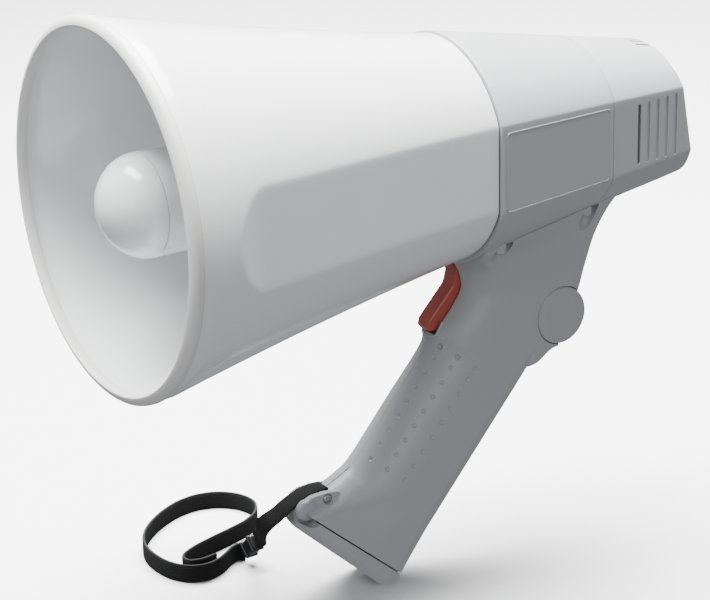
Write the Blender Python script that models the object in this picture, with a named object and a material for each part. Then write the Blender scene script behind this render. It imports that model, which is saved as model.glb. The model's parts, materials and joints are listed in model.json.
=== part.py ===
"""Handheld megaphone: a reflex horn, an amplifier housing and a pistol grip that holds the batteries.

World frame: origin at the centre of the hand grip, +Z up, horn axis along X, mouth towards -X.
All sizes below are millimetres. Two helpers turn them into world metres:
  horn(x, y, z)   x behind the mouth plane, z above the horn's axis
  grip(n, s, y)   n rearwards from the grip's centre line, s down the leaning grip from its centre
"""

import math

import bmesh
import bpy
from mathutils import Matrix, Vector

MM = 0.001
GAP = 0.3                  # clearance between touching pieces

# Placing of the two frames
MOUTH_TO_GRIP = 157.1      # mouth plane to the grip's centre, along the axis
AXIS_HEIGHT = 128.7        # horn axis above the grip's centre
LEAN = math.radians(40.7)  # the grip's slope from the vertical

# Horn and housing
MOUTH_R = 80.0
JOINT_X = 164.2            # where the horn meets the housing
HORN_END_R = 50.3
SEAM_X = 234.3             # where the housing meets the rear cap
BODY_R = 51.6              # housing radius at the joint
BODY_TAPER = 0.171
BACK_X = 284.8
BACK_SLANT = 0.21          # the rear face leans back towards its foot
FLAT_DEPTH = 3.65          # how deep the side flats cut into the round body
SHELL = 2.4                # wall of the horn, housing and cap
REFLECTOR_R = 22.0
DOME_BASE_X = 19.0
DOME_DEPTH = 19.6
SKIRT_END_X = 92.0
LIP_R = 34.0               # opening in the horn's rear wall

# Hand grip
GRIP_WALL = 2.4
GRIP_FRONT = -24.0         # nose of the grip section, from its centre line
GRIP_REAR = 25.0
GRIP_HALF = 17.0           # half the grip's width
COVER_S = 65.0             # where the battery cover meets the grip
HINGE = (-38.0, 65.0)      # battery cover hinge, (n, s)
STRAP_PIN = (-34.6, 53.6)  # strap pin, (n, s)
DIAL = (20.6, -74.2)       # volume dial, (n, s)
DIAL_R = 13.6
TRIGGER_PIVOT = (178.5, -57.5)  # trigger pivot, (x, z) in the horn frame
CELL_R = 7.1
CELL_LENGTH = 50.0


def horn(x, y=0.0, z=0.0):
    return Vector(((x - MOUTH_TO_GRIP) * MM, y * MM, (z + AXIS_HEIGHT) * MM))


REARWARD = Vector((math.cos(LEAN), 0.0, -math.sin(LEAN)))
DOWNGRIP = Vector((-math.sin(LEAN), 0.0, -math.cos(LEAN)))
SIDE = Vector((0.0, 1.0, 0.0))
BACK = Vector((1.0, 0.0, 0.0))
UP = Vector((0.0, 0.0, 1.0))


def grip(n, s, y=0.0):
    return (REARWARD * n + DOWNGRIP * s + SIDE * y) * MM


# ---------------------------------------------------------------- materials and mesh helpers

MATERIALS = {
    "horn_white": ((0.82, 0.83, 0.84), 0.22, 0.0),
    "rim_white": ((0.74, 0.74, 0.72), 0.35, 0.0),
    "body_grey": ((0.44, 0.44, 0.46), 0.38, 0.0),
    "trigger_red": ((0.34, 0.04, 0.035), 0.35, 0.0),
    "black_plastic": ((0.02, 0.02, 0.02), 0.4, 0.0),
    "inner_plastic": ((0.62, 0.62, 0.6), 0.5, 0.0),
    "steel": ((0.55, 0.55, 0.56), 0.3, 1.0),
    "magnet": ((0.06, 0.06, 0.065), 0.6, 0.0),
    "copper": ((0.7, 0.33, 0.18), 0.35, 1.0),
    "board_green": ((0.03, 0.16, 0.07), 0.45, 0.0),
    "foam": ((0.05, 0.05, 0.055), 0.95, 0.0),
    "label_grey": ((0.5, 0.5, 0.52), 0.45, 0.0),
    "cell_jacket": ((0.05, 0.12, 0.35), 0.35, 0.2),
    "webbing": ((0.012, 0.012, 0.013), 0.8, 0.0),
    "red_wire": ((0.4, 0.03, 0.03), 0.45, 0.0),
}


def material(name):
    found = bpy.data.materials.get(name)
    if found:
        return found
    colour, rough, metal = MATERIALS[name]
    made = bpy.data.materials.new(name)
    made.use_nodes = True
    shader = made.node_tree.nodes["Principled BSDF"]
    shader.inputs["Base Color"].default_value = (*colour, 1.0)
    shader.inputs["Roughness"].default_value = rough
    shader.inputs["Metallic"].default_value = metal
    return made


def link(name, mesh, slot, origin=None):
    """Put a mesh, given in world metres, in the scene with its origin at the given point."""
    piece = bpy.data.objects.new(name, mesh)
    if origin is not None:
        mesh.transform(Matrix.Translation(-origin))
        piece.location = origin
    bpy.context.collection.objects.link(piece)
    mesh.materials.append(material(slot))
    mesh.shade_smooth()
    mesh.set_sharp_from_angle(angle=math.radians(32))
    return piece


def solid(name, bm, slot, origin=None):
    bmesh.ops.recalc_face_normals(bm, faces=bm.faces)
    mesh = bpy.data.meshes.new(name)
    bm.to_mesh(mesh)
    bm.free()
    return link(name, mesh, slot, origin)


def add_ring(bm, points):
    return [bm.verts.new(p) for p in points]


def bridge(bm, a, b):
    count = len(a)
    for i in range(count):
        j = (i + 1) % count
        bm.faces.new((a[i], a[j], b[j], b[i]))


def add_loft(bm, rings):
    """A closed solid through rings of equal length, with flat ends."""
    rows = [add_ring(bm, ring) for ring in rings]
    for a, b in zip(rows, rows[1:]):
        bridge(bm, a, b)
    bm.faces.new(reversed(rows[0]))
    bm.faces.new(rows[-1])


def add_pipe(bm, outer, inner):
    """A closed solid between two sets of rings: an open-ended shell."""
    rows = [add_ring(bm, ring) for ring in outer] + [add_ring(bm, ring) for ring in reversed(inner)]
    for a, b in zip(rows, rows[1:] + rows[:1]):
        bridge(bm, a, b)


def circle(centre, axis, radius, sides, phase=0.0):
    """Points of a circle of the given radius (mm) round a world point."""
    axis = axis.normalized()
    across = axis.cross(UP if abs(axis.z) < 0.9 else SIDE).normalized()
    over = axis.cross(across)
    turn = [phase + 2 * math.pi * i / sides for i in range(sides)]
    return [centre + (across * math.cos(t) + over * math.sin(t)) * radius * MM for t in turn]


def add_turned(bm, profile, origin, axis, sides):
    """Turn a closed outline of (along, radius) pairs, in mm, round an axis; radius 0 is allowed at its ends."""
    if profile[0][1] > 0 and profile[-1][1] > 0:
        rings = [circle(origin + axis * a * MM, axis, r, sides) for a, r in profile]
        rows = [add_ring(bm, ring) for ring in rings]
        for a, b in zip(rows, rows[1:] + rows[:1]):
            bridge(bm, a, b)
        return
    rows = [add_ring(bm, circle(origin + axis * a * MM, axis, r, sides)) for a, r in profile if r > 0]
    for a, b in zip(rows, rows[1:]):
        bridge(bm, a, b)
    for row, (a, _) in ((rows[0], profile[0]), (rows[-1], profile[-1])):
        pole = bm.verts.new(origin + axis * a * MM)
        for i, vert in enumerate(row):
            bm.faces.new((vert, row[(i + 1) % sides], pole))


def add_rod(bm, start, end, radius, sides=10):
    axis = (end - start).normalized()
    add_loft(bm, [circle(start, axis, radius, sides), circle(end, axis, radius, sides)])


def add_block(bm, centre, size, along=BACK, up=UP):
    """A box of size (along, side, up) in mm."""
    side = up.cross(along)
    a, b, c = (axis * length * 0.5 * MM for axis, length in zip((along, side, up), size))
    corners = [(-1, -1), (1, -1), (1, 1), (-1, 1)]
    add_loft(bm, [[centre + a * i + b * j + c * k for i, j in corners] for k in (-1, 1)])


def add_plate(bm, outline, low, high, place):
    """Extrude an outline of 2-D points, in mm, from y = low to y = high; place(u, v, y) gives world points."""
    add_loft(bm, [[place(u, v, y) for u, v in outline] for y in (low, high)])


def cutter(name, bm):
    tool = solid(name, bm, "steel")
    tool.hide_render = True
    tool.display_type = "WIRE"
    return tool


def combine(piece, tool, operation="DIFFERENCE", solver="EXACT"):
    step = piece.modifiers.new(tool.name, "BOOLEAN")
    step.operation = operation
    step.solver = solver
    step.object = tool


def turned(name, slot, profile, origin, axis=BACK, sides=40):
    bm = bmesh.new()
    add_turned(bm, profile, origin, axis, sides)
    return solid(name, bm, slot)


def smooth_step(low, high, value):
    t = min(1.0, max(0.0, (value - low) / (high - low)))
    return t * t * (3 - 2 * t)


def spline(points, per_span):
    """Catmull-Rom points through a list of equal-length tuples."""
    ends = [points[0]] + list(points) + [points[-1]]
    out = []
    for i in range(1, len(ends) - 2):
        p = ends[i - 1:i + 3]
        for k in range(per_span):
            t = k / per_span
            weights = (-t + 2 * t**2 - t**3, 2 - 5 * t**2 + 3 * t**3, t + 4 * t**2 - 3 * t**3, t**3 - t**2)
            out.append(tuple(0.5 * sum(w * q[c] for w, q in zip(weights, p)) for c in range(len(p[0]))))
    return out + [tuple(points[-1])]


# ---------------------------------------------------------------- horn and reflector

def horn_radius(x):
    u = JOINT_X - x
    return HORN_END_R + 0.148 * u + 0.00024 * u * u


def body_radius(x):
    return BODY_R - BODY_TAPER * (x - JOINT_X)


def flat_section(x, radius, depth, low_edge=0.0, belly=0.0, arc=14, flat=4):
    """One ring of the round body with a flat on each side.

    low_edge swells the underside where it leaves the flats, and belly below that.
    """
    corner = max(math.acos(min(1.0, (radius - depth) / radius)), math.asin(min(1.0, 6.0 / radius)))
    y = radius * math.cos(corner)
    half = radius * math.sin(corner)
    under = radius + low_edge
    low_corner = math.acos(y / under)
    low_half = under * math.sin(low_corner)
    points = []
    for i in range(arc):
        t = corner + (math.pi - 2 * corner) * i / arc
        points.append((radius * math.cos(t), radius * math.sin(t)))
    drop = half + low_half
    points += [(-y, half - drop * i / flat) for i in range(flat)]
    for i in range(arc):
        t = low_corner + (math.pi - 2 * low_corner) * i / arc
        low = under + (belly - low_edge) * smooth_step(math.radians(30), math.radians(60), min(t, math.pi - t))
        points.append((-low * math.cos(t), -low * math.sin(t)))
    points += [(y, -low_half + drop * i / flat) for i in range(flat)]
    return [horn(x, py, pz) for py, pz in points]


def body_section(x, inset=0.0, slant=0.0):
    """A ring of the housing or cap; slant leans it back towards its foot."""
    low_edge = 0.4 + 0.6 * smooth_step(JOINT_X, SEAM_X, x)
    belly = 0.8 + 0.6 * smooth_step(JOINT_X, 240, x) + 1.4 * smooth_step(236, BACK_X, x)
    radius = body_radius(x) - inset
    ring = []
    for point in flat_section(x, radius, FLAT_DEPTH, low_edge, belly):
        shift = -slant * (point.z / MM - AXIS_HEIGHT)
        scale = (radius - BODY_TAPER * shift) / radius
        flat_y = (radius - BODY_TAPER * shift - FLAT_DEPTH) * MM
        ring.append(Vector((point.x + shift * MM, max(-flat_y, min(flat_y, point.y * scale)),
                            AXIS_HEIGHT * MM + (point.z - AXIS_HEIGHT * MM) * scale)))
    return ring


def flat_at(x):
    """The horn's side flats rise out of its surface behind the mouth."""
    return FLAT_DEPTH * smooth_step(18, 38, x)


def make_bell():
    stations = [(0.8, MOUTH_R - 1), (7.6, MOUTH_R - 1), (16, None), (26, None), (34, None), (42, None),
                (66, None), (90, None), (114, None), (139, None), (JOINT_X - GAP, None)]
    outer = []
    inner = []
    for x, r in stations:
        r = r or horn_radius(x)
        outer.append(flat_section(x, r, flat_at(x), arc=16))
        inner.append(flat_section(x, min(r, horn_radius(x)) - SHELL, flat_at(x), arc=16))
    inner[-1] = flat_section(161.5, horn_radius(161.5) - SHELL, FLAT_DEPTH, arc=16)
    outer.append(flat_section(JOINT_X - GAP, LIP_R, 0.0, arc=16))
    inner.append(flat_section(161.5, LIP_R, 0.0, arc=16))
    bm = bmesh.new()
    add_pipe(bm, outer, inner)
    bell = solid("horn_bell", bm, "horn_white")
    combine(bell, DRIVER_SCREW_HOLES)
    turned("horn_rim_guard", "rim_white",
           [(-2.0, 75.6), (-2.0, 76.9), (-1.3, 79.0), (-0.3, MOUTH_R), (0.5, MOUTH_R), (0.5, 75.6)], horn(0), sides=56)


def make_reflector():
    angles = [math.radians(90 * i / 6) for i in range(7)]
    wall = 2.0
    front = [(DOME_BASE_X - DOME_DEPTH * math.cos(t), REFLECTOR_R * math.sin(t)) for t in angles]
    back = [(DOME_BASE_X - (DOME_DEPTH - wall) * math.cos(t), (REFLECTOR_R - wall - 0.4) * math.sin(t))
            for t in reversed(angles)]
    spigot = [(DOME_BASE_X, REFLECTOR_R - wall - 0.3), (DOME_BASE_X + 4, REFLECTOR_R - wall - 0.3),
              (DOME_BASE_X + 4, REFLECTOR_R - 2 * wall)]
    turned("reflector_dome", "horn_white", front + spigot + back[1:], horn(0), sides=28)
    start = DOME_BASE_X + GAP
    turned("reflector_skirt", "horn_white",
           [(start, REFLECTOR_R), (SKIRT_END_X, REFLECTOR_R - 0.8), (SKIRT_END_X, REFLECTOR_R - 2.8),
            (start, REFLECTOR_R - 2.0)], horn(0), sides=28)
    tube = turned("throat_tube", "horn_white",
                  [(34, 14.8), (150, 10.9), (157, 12.5), (158.8, 16), (158.8, 43), (161.2, 43), (161.2, 9),
                   (34, 13.2)], horn(0), sides=24)
    bm = bmesh.new()
    for k in range(3):
        out = Matrix.Rotation(math.radians(90 + 120 * k), 3, BACK) @ SIDE
        add_block(bm, horn(66) + out * 15.85 * MM, (34, 5.7, 2.0), up=BACK.cross(out) * -1)
    combine(tube, cutter("add_throat_fins", bm), "UNION")
    combine(tube, DRIVER_SCREW_HOLES)


def screw_spots():
    return [(37.5 * math.cos(t), 37.5 * math.sin(t)) for t in (math.radians(45 + 90 * k) for k in range(4))]


def screw_holes():
    bm = bmesh.new()
    for y, z in screw_spots():
        add_rod(bm, horn(150, y, z), horn(175, y, z), 1.8, 10)
    return cutter("cut_driver_screws", bm)


def make_driver():
    turned("driver_gasket", "foam", [(161.8, 12), (161.8, 33.4), (164.1, 33.4), (164.1, 12)], horn(0), sides=24)
    frame = turned("driver_frame", "black_plastic",
                   [(164.4, 9), (164.4, 41), (167.4, 41), (167.4, 31), (172.2, 31), (172.2, 27.6), (167.4, 27.6),
                    (167.4, 9)], horn(0), sides=28)
    combine(frame, DRIVER_SCREW_HOLES)
    bm = bmesh.new()
    add_block(bm, horn(167, 0, -46), (20, 60, 16.4))
    combine(frame, cutter("cut_frame_foot", bm))
    turned("driver_diaphragm", "inner_plastic",
           [(168.0, 27.0), (168.7, 20), (169.4, 13.3), (168.6, 7), (168.2, 0), (168.7, 0), (169.1, 7),
            (169.9, 13.3), (169.3, 20), (168.6, 27.0)], horn(0), sides=24)
    turned("voice_coil", "copper", [(170.3, 12.6), (170.3, 13.3), (177.5, 13.3), (177.5, 12.6)], horn(0), sides=24)
    turned("driver_top_plate", "steel", [(172.6, 13.9), (172.6, 28), (176.6, 28), (176.6, 13.9)], horn(0), sides=24)
    turned("driver_magnet", "magnet", [(176.9, 15.5), (176.9, 30), (187.4, 30), (187.4, 15.5)], horn(0), sides=24)
    turned("driver_pole_piece", "steel",
           [(173.0, 0), (173.0, 12), (187.7, 12), (187.7, 28.5), (191.7, 28.5), (191.7, 0)], horn(0), sides=24)
    for i, (y, z) in enumerate(screw_spots()):
        turned(f"driver_screw_{i + 1}", "steel",
               [(158.9, 0), (158.9, 1.4), (167.7, 1.4), (167.7, 3), (169.6, 2.4), (169.6, 0)],
               horn(0, y, z), sides=10)


# ---------------------------------------------------------------- housing and rear cap

SADDLE_FRONT = 166.4       # the grip's saddle starts behind the housing's front ring
SADDLE_BACK = 250.2
SADDLE_SLOPE = 0.134


def saddle_z(x):
    """Height of the flat joint between the housing and the grip's saddle."""
    return -41.3 + SADDLE_SLOPE * (x - SADDLE_FRONT)


def saddle_cutter():
    """Everything under the saddle plane, between the front ring and the cap's rear part."""
    bm = bmesh.new()
    front, back = SADDLE_FRONT - GAP, SADDLE_BACK + GAP
    outline = [(front, saddle_z(front)), (back, saddle_z(back)), (back, -70), (front, -70)]
    add_plate(bm, outline, -60, 60, lambda x, z, y: horn(x, y, z))
    return cutter("cut_saddle", bm)


def make_housing():
    stations = [JOINT_X + GAP, 182, 208, SEAM_X - GAP / 2]
    bm = bmesh.new()
    add_pipe(bm, [body_section(x) for x in stations], [body_section(x, SHELL) for x in stations])
    housing = solid("amplifier_housing", bm, "body_grey")
    combine(housing, SADDLE)
    combine(housing, saddle_floor(JOINT_X + 1.6, SEAM_X - GAP / 2, "add_housing_floor"), "UNION")
    bm = bmesh.new()
    for x, y in BOARD_POSTS:
        add_rod(bm, horn(x, y, saddle_z(x) + 1), horn(x, y, -13.2), 2.4, 10)
    combine(housing, cutter("add_board_posts", bm), "UNION")
    combine(housing, housing_holes())


def saddle_floor(start, end, name):
    """The floor that closes the housing above the grip's saddle."""
    bm = bmesh.new()
    rings = []
    for x in (start, end):
        low = saddle_z(x) + 0.05
        high = low + SHELL
        r = body_radius(x) - SHELL / 2 + 1.5
        wide_low = math.sqrt(r * r - low * low)
        wide_high = math.sqrt(r * r - high * high)
        rings.append([horn(x, -wide_low, low), horn(x, wide_low, low), horn(x, wide_high, high),
                      horn(x, -wide_high, high)])
    add_loft(bm, rings)
    return cutter(name, bm)


SADDLE_SCREWS = ((179.5, 25.5), (231.0, 20.5))  # (x, half spacing)
BOARD_POSTS = ((202, 19), (202, -19), (227, 19), (227, -19))


def housing_holes():
    """The wire way down to the grip and the four saddle screw holes."""
    bm = bmesh.new()
    add_block(bm, horn(205, 0, saddle_z(205)), (24, 16, 16))
    for x, y in SADDLE_SCREWS:
        for side in (-1, 1):
            add_rod(bm, horn(x, side * y, saddle_z(x) - 8), horn(x, side * y, saddle_z(x) + 8), 1.8, 10)
    return cutter("cut_housing_holes", bm)


def make_cap():
    outer = [body_section(*station) for station in (
        (SEAM_X + GAP / 2, 0), (252, 0, 0.0), (266, 0, 0.1), (BACK_X - 2.0, 0, BACK_SLANT),
        (BACK_X - 0.6, 0.4, BACK_SLANT), (BACK_X, 1.6, BACK_SLANT))]
    inner = [body_section(*station) for station in (
        (SEAM_X + GAP / 2, SHELL), (252, SHELL, 0.0), (266, SHELL, 0.1), (BACK_X - SHELL, SHELL, BACK_SLANT))]
    bm = bmesh.new()
    rows = [add_ring(bm, ring) for ring in reversed(outer)]
    rows += [add_ring(bm, ring) for ring in inner]
    for a, b in zip(rows, rows[1:]):
        bridge(bm, a, b)
    bm.faces.new(rows[0])
    bm.faces.new(rows[-1])
    cap = solid("rear_cap", bm, "body_grey")
    combine(cap, SADDLE)
    combine(cap, saddle_floor(SEAM_X + GAP / 2, SADDLE_BACK + 1.6, "add_cap_floor"), "UNION")
    combine(cap, keel_wall(), "UNION")
    combine(cap, cap_vents())


def keel_wall():
    """The wall that closes the cap behind the saddle."""
    rings = []
    for x in (SADDLE_BACK + 0.4, SADDLE_BACK + 2.8):
        r = body_radius(x) - SHELL / 2 + 1.5
        rings.append([horn(x, r * math.sin(t), -r * math.cos(t))
                      for t in (math.radians(a) for a in range(-50, 51, 10))])
    bm = bmesh.new()
    add_loft(bm, rings)
    return cutter("add_keel_wall", bm)


SIDE_SLOTS = 5
SIDE_SLOT_X = 251.2
SIDE_SLOT_PITCH = 6.15
SIDE_SLOT_HALF = 14.0
SIDE_SLOT_WIDE = 1.8


def cap_vents():
    """Side slots, open only nearest the seam, short slots in the crown and the grille behind."""
    bm = bmesh.new()
    for i in range(SIDE_SLOTS):
        x = SIDE_SLOT_X + i * SIDE_SLOT_PITCH
        y = body_radius(x) - FLAT_DEPTH
        tall = 2 * SIDE_SLOT_HALF + 0.2 * i
        for side in (-1, 1):
            add_block(bm, horn(x, side * y, -1.5), (SIDE_SLOT_WIDE, 9 if i == 0 else 2.2, tall))
    for k in range(-2, 3):
        add_block(bm, horn(272.5, k * 4.2, 32), (8.5, 1.4, 16))
        wide = 2 * math.sqrt(13.5**2 - (k * 4.6) ** 2)
        add_block(bm, horn(BACK_X - BACK_SLANT * k * 4.6, 0, k * 4.6), (9, wide, 1.5))
    return cutter("cut_cap_vents", bm)


def make_electronics():
    bm = bmesh.new()
    add_block(bm, horn(227, 0, -12), (60, 46, 1.6))
    solid("amplifier_board", bm, "board_green")
    bm = bmesh.new()
    add_block(bm, horn(212, -6, -1.4), (22, 26, 18))
    solid("output_transformer", bm, "magnet")
    comb = [(226, -10.6), (250, -10.6)]
    for i in range(4, -1, -1):
        left = 226 + 5.6 * i
        comb += [(left + 1.6, 4), (left, 4), (left, -8.2), (left - 4.0, -8.2)]
    bm = bmesh.new()
    add_plate(bm, comb[:-1], 9, 20, lambda x, z, y: horn(x, y, z))
    solid("heat_sink", bm, "steel")
    for i, (x, y) in enumerate(((233, -5), (244.5, -7))):
        bm = bmesh.new()
        add_rod(bm, horn(x, y, -10.9), horn(x, y, 4), 5, 14)
        solid(f"board_capacitor_{i + 1}", bm, "black_plastic")
    turned("microphone_holder", "foam", [(265, 7.2), (265, 12.6), (277.0, 12.6), (277.0, 7.2)], horn(0), sides=24)
    turned("microphone_capsule", "steel", [(266, 0), (266, 6.8), (273.5, 6.8), (273.5, 0)], horn(0), sides=20)
    turned("microphone_foam", "foam", [(274.0, 0), (274.0, 6.8), (276.8, 6.8), (276.8, 0)], horn(0), sides=20)


LABEL_X = (169.5, 232.0)
LABEL_HALF = 16.2


def make_label():
    """A blank rating plate on the left flat."""
    bm = bmesh.new()
    rings = []
    for off in (GAP, 0.7):
        ring = []
        for x, z in ((LABEL_X[0], -LABEL_HALF - 0.6), (LABEL_X[1], -LABEL_HALF), (LABEL_X[1], LABEL_HALF - 1.8),
                     (LABEL_X[0], LABEL_HALF)):
            ring.append(horn(x, -(body_radius(x) - FLAT_DEPTH) - off, z - 0.6))
        rings.append(ring)
    add_loft(bm, rings)
    solid("rating_plate", bm, "label_grey")


# ---------------------------------------------------------------- hand grip

def from_horn(x, z):
    """Grip-frame (n, s) of a point given in the horn frame."""
    world = horn(x, 0, z)
    return world.dot(REARWARD) / MM, world.dot(DOWNGRIP) / MM


# Each station of the grip: front (n, s), rear (n, s), nose length, half widths behind the nose,
# at mid depth and at the rear, and how much of the rear is rounded.
STATIONS = [
    (*from_horn(SADDLE_FRONT, -41.6), *from_horn(SADDLE_BACK, saddle_z(SADDLE_BACK) - GAP), 1.5, 31.6, 28.5, 24.6, 4.0),
    (*from_horn(SADDLE_FRONT, -45.0), *from_horn(250.0, -35.5), 2.5, 28.2, 25.0, 20.6, 6.0),
    (*from_horn(167.2, -50.5), *from_horn(247.3, -43.5), 7.0, 22.6, 21.0, 18.4, 8.0),
    (*from_horn(170.8, -57.0), *from_horn(243.6, -53.0), 13.0, 18.6, 18.4, 17.4, 9.0),
    (*from_horn(172.2, -65.5), *from_horn(239.5, -66.0), 18.0, 17.2, 17.1, GRIP_HALF, 9.5),
    (*from_horn(167.6, -73.2), *from_horn(234.5, -80.0), 20.0, 17.0, 17.0, GRIP_HALF, 9.5),
    (*from_horn(161.4, -80.2), *from_horn(224.0, -93.0), 21.0, 17.0, 17.0, GRIP_HALF, 9.5),
    (-27.6, -33.6, GRIP_REAR, -50.0, 22.0, 17.0, 17.0, GRIP_HALF, 9.2),
    (GRIP_FRONT, -27.0, GRIP_REAR, -34.0, 22.0, 17.0, 17.0, GRIP_HALF, 9.2),
    (GRIP_FRONT, 0.0, GRIP_REAR, 0.0, 22.0, 17.0, 17.0, GRIP_HALF, 9.2),
    (GRIP_FRONT, 32.0, GRIP_REAR, 32.0, 22.0, 17.0, 17.0, GRIP_HALF, 9.2),
    (-26.4, 42.0, GRIP_REAR, 42.0, 17.0, 15.2, GRIP_HALF, GRIP_HALF, 9.2),
    (-30.8, 51.0, GRIP_REAR + 0.4, 51.0, 12.0, 13.0, GRIP_HALF, GRIP_HALF, 9.2),
    (-35.6, 58.5, GRIP_REAR + 0.8, 58.5, 8.0, 12.5, GRIP_HALF, GRIP_HALF, 9.2),
    (-39.0, COVER_S - 0.3, GRIP_REAR + 1.2, COVER_S - 0.3, 4.0, 12.4, GRIP_HALF, GRIP_HALF, 9.2),
]
NOSE_STEPS = 6


def half_outline(station, inset=0.0):
    """(distance from the front, half width) points of one station, from nose to rear."""
    nf, sf, nr, sr, nose, wide, mid, rear, round_off = station
    depth = math.hypot(nr - nf, sr - sf)
    flat_end = depth - round_off
    points = [(nose * (1 - math.cos(t)), wide * math.sin(t))
              for t in (math.radians(90 * i / NOSE_STEPS) for i in range(NOSE_STEPS + 1))]
    centre = nose + (flat_end - nose) * 0.5
    points += [(centre, mid), (flat_end, rear), (depth - round_off * 0.27, rear - round_off * 0.42),
               (depth, rear - round_off * 0.85), (depth, 0.0)]
    if not inset:
        return points
    inner = []
    for along, half in points:
        inner.append((inset + along * (depth - 2 * inset) / depth, max(0.0, half - inset)))
    return inner


def station_points(station, side, inset=0.0, seam=0.15):
    """World points of one half outline, kept clear of the mid plane."""
    nf, sf, nr, sr = station[:4]
    front = Vector((nf, sf))
    run = Vector((nr - nf, sr - sf)).normalized()
    out = []
    for along, half in half_outline(station, inset):
        n, s = front + run * along
        out.append(grip(n, s, side * max(half, seam)))
    return out


def make_grip_half(name, side):
    stations = spline(STATIONS, 2)
    rings = []
    for station in stations:
        outer = station_points(station, side)
        inner = station_points(station, side, GRIP_WALL)
        rings.append(outer + inner[::-1])
    bm = bmesh.new()
    add_loft(bm, rings)
    bmesh.ops.triangulate(bm, faces=[f for f in bm.faces if len(f.verts) > 4])
    half = solid(name, bm, "body_grey")
    for tool in grip_bosses(side):
        combine(half, tool, "UNION", "MANIFOLD")
    for tool in (trigger_slot(), dial_hole(), screw_scoops(), lug_bores()):
        combine(half, tool, "DIFFERENCE", "MANIFOLD")
    return half


TOOLS = {}


def once(build):
    """Make a cutter the first time it is asked for."""
    def get():
        if build.__name__ not in TOOLS:
            TOOLS[build.__name__] = build()
        return TOOLS[build.__name__]
    return get


def grip_bosses(side):
    """Screw columns, hinge lug, wall between batteries and switchgear, and pivots, for one half."""
    near = 0.25
    shapes = []
    for x, y in SADDLE_SCREWS:
        top = saddle_z(x) - 1.1
        shapes.append((horn(x, side * (y - 1.8), top - 3.7), horn(x, side * (y - 1.8), top), 4.9))
    shapes.append((grip(*HINGE, side * 5.0), grip(*HINGE, side * 12.4), 5.0))
    pivot = horn(TRIGGER_PIVOT[0], 0, TRIGGER_PIVOT[1])
    shapes.append((pivot + SIDE * side * 8.4 * MM, pivot + SIDE * side * 15.6 * MM, 3.4))
    for n, s, half in GRIP_SCREWS:
        shapes.append((grip(n, s, side * near), grip(n, s, side * (half - 1.2)), 3.0))
    ear = [(-24.0, 46.0), (-31.0, 48.2), (-36.6, 52.0), (-41.0, 57.2), (-42.9, 64.0), (-38.0, 65.0), (-30.0, 64.4),
           (-24.0, 60.0)]
    collar = [(12.0, -62.0), (22.0, -48.0), (25.2, -50.5), (26.0, -54.0), (27.8, -57.5), (30.6, -60.8),
              (32.0, -63.4), (20.6, -66.0)]
    plates = []
    for name, outline, low, high in (("ear", ear, 5.0, 12.4), ("dial_collar", collar, 3.6, 16.6)):
        bm = bmesh.new()
        add_plate(bm, outline, side * low, side * high, lambda n, s, y: grip(n, s, y))
        plates.append(cutter(f"add_{name}_{name_of(side)}", bm))
    bm = bmesh.new()
    add_block(bm, grip(3.4, -50.0, side * 7.25), (38.0, 14.0, 2.0), along=REARWARD, up=-DOWNGRIP)
    tools = [cutter(f"add_bulkhead_{name_of(side)}", bm), *plates]
    for i, (start, end, radius) in enumerate(shapes):
        bm = bmesh.new()
        add_rod(bm, start, end, radius, 14)
        tools.append(cutter(f"add_boss_{i + 1}_{name_of(side)}", bm))
    return tools


def name_of(side):
    return "left" if side < 0 else "right"


@once
def trigger_slot():
    """The mouth in the grip's nose that the trigger works in, and the strap slot between the lugs."""
    bm = bmesh.new()
    outline = [(160, -52.4), (168, -52.2), (186, -52.2), (186, -66), (176, -76.5), (165.4, -86.4), (159.6, -85.9),
               (150, -80)]
    add_plate(bm, outline, -4.9, 4.9, lambda x, z, y: horn(x, y, z))
    slot = [(-50, 47.0), (-29.5, 47.0), (-29.5, 75), (-50, 75)]
    add_plate(bm, slot, -4.9, 4.9, lambda n, s, y: grip(n, s, y))
    return cutter("cut_trigger_slot", bm)


@once
def dial_hole():
    bm = bmesh.new()
    centre = grip(*DIAL)
    for side in (-1, 1):
        near = centre + SIDE * side * 3.4 * MM
        add_rod(bm, near, centre + SIDE * side * 20 * MM, DIAL_R + 0.4, 40)
    add_rod(bm, centre - SIDE * 5 * MM, centre + SIDE * 5 * MM, 3.4, 16)
    return cutter("cut_dial", bm)


@once
def screw_scoops():
    """Recesses under the saddle screws, with the screws' own holes above them."""
    bm = bmesh.new()
    for x, y in SADDLE_SCREWS:
        for side in (-1, 1):
            seat = saddle_z(x) - 3.6
            add_rod(bm, horn(x, side * y, seat - 22), horn(x, side * y, seat), 3.7, 16)
    tool = cutter("cut_screw_scoops", bm)
    bm = bmesh.new()
    for x, y in SADDLE_SCREWS:
        for side in (-1, 1):
            add_rod(bm, horn(x, side * y, saddle_z(x) - 6), horn(x, side * y, saddle_z(x) + 3), 1.8, 10)
    combine(tool, cutter("cut_screw_shanks", bm), "UNION")
    return tool


@once
def lug_bores():
    """Bores through the lugs and walls for the hinge pin, strap pin, trigger pin and body screws."""
    bm = bmesh.new()
    add_rod(bm, grip(*HINGE, -20), grip(*HINGE, 20), 1.8, 12)
    add_turned(bm, [(-20, 0), (-20, 2.3), (-11.8, 2.3), (-11.8, 1.5), (20, 1.5), (20, 0)], grip(*STRAP_PIN), SIDE, 14)
    add_rod(bm, horn(TRIGGER_PIVOT[0], -12.4, TRIGGER_PIVOT[1]), horn(TRIGGER_PIVOT[0], 12.4, TRIGGER_PIVOT[1]),
            1.8, 12)
    for n, s, half in GRIP_SCREWS:
        add_turned(bm, [(3 - half, 0), (3 - half, 1.6), (half - 2.8, 1.6), (half - 2.8, 3.1), (half + 8, 3.1),
                        (half + 8, 0)], grip(n, s), SIDE, 12)
    return cutter("cut_lug_bores", bm)


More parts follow.
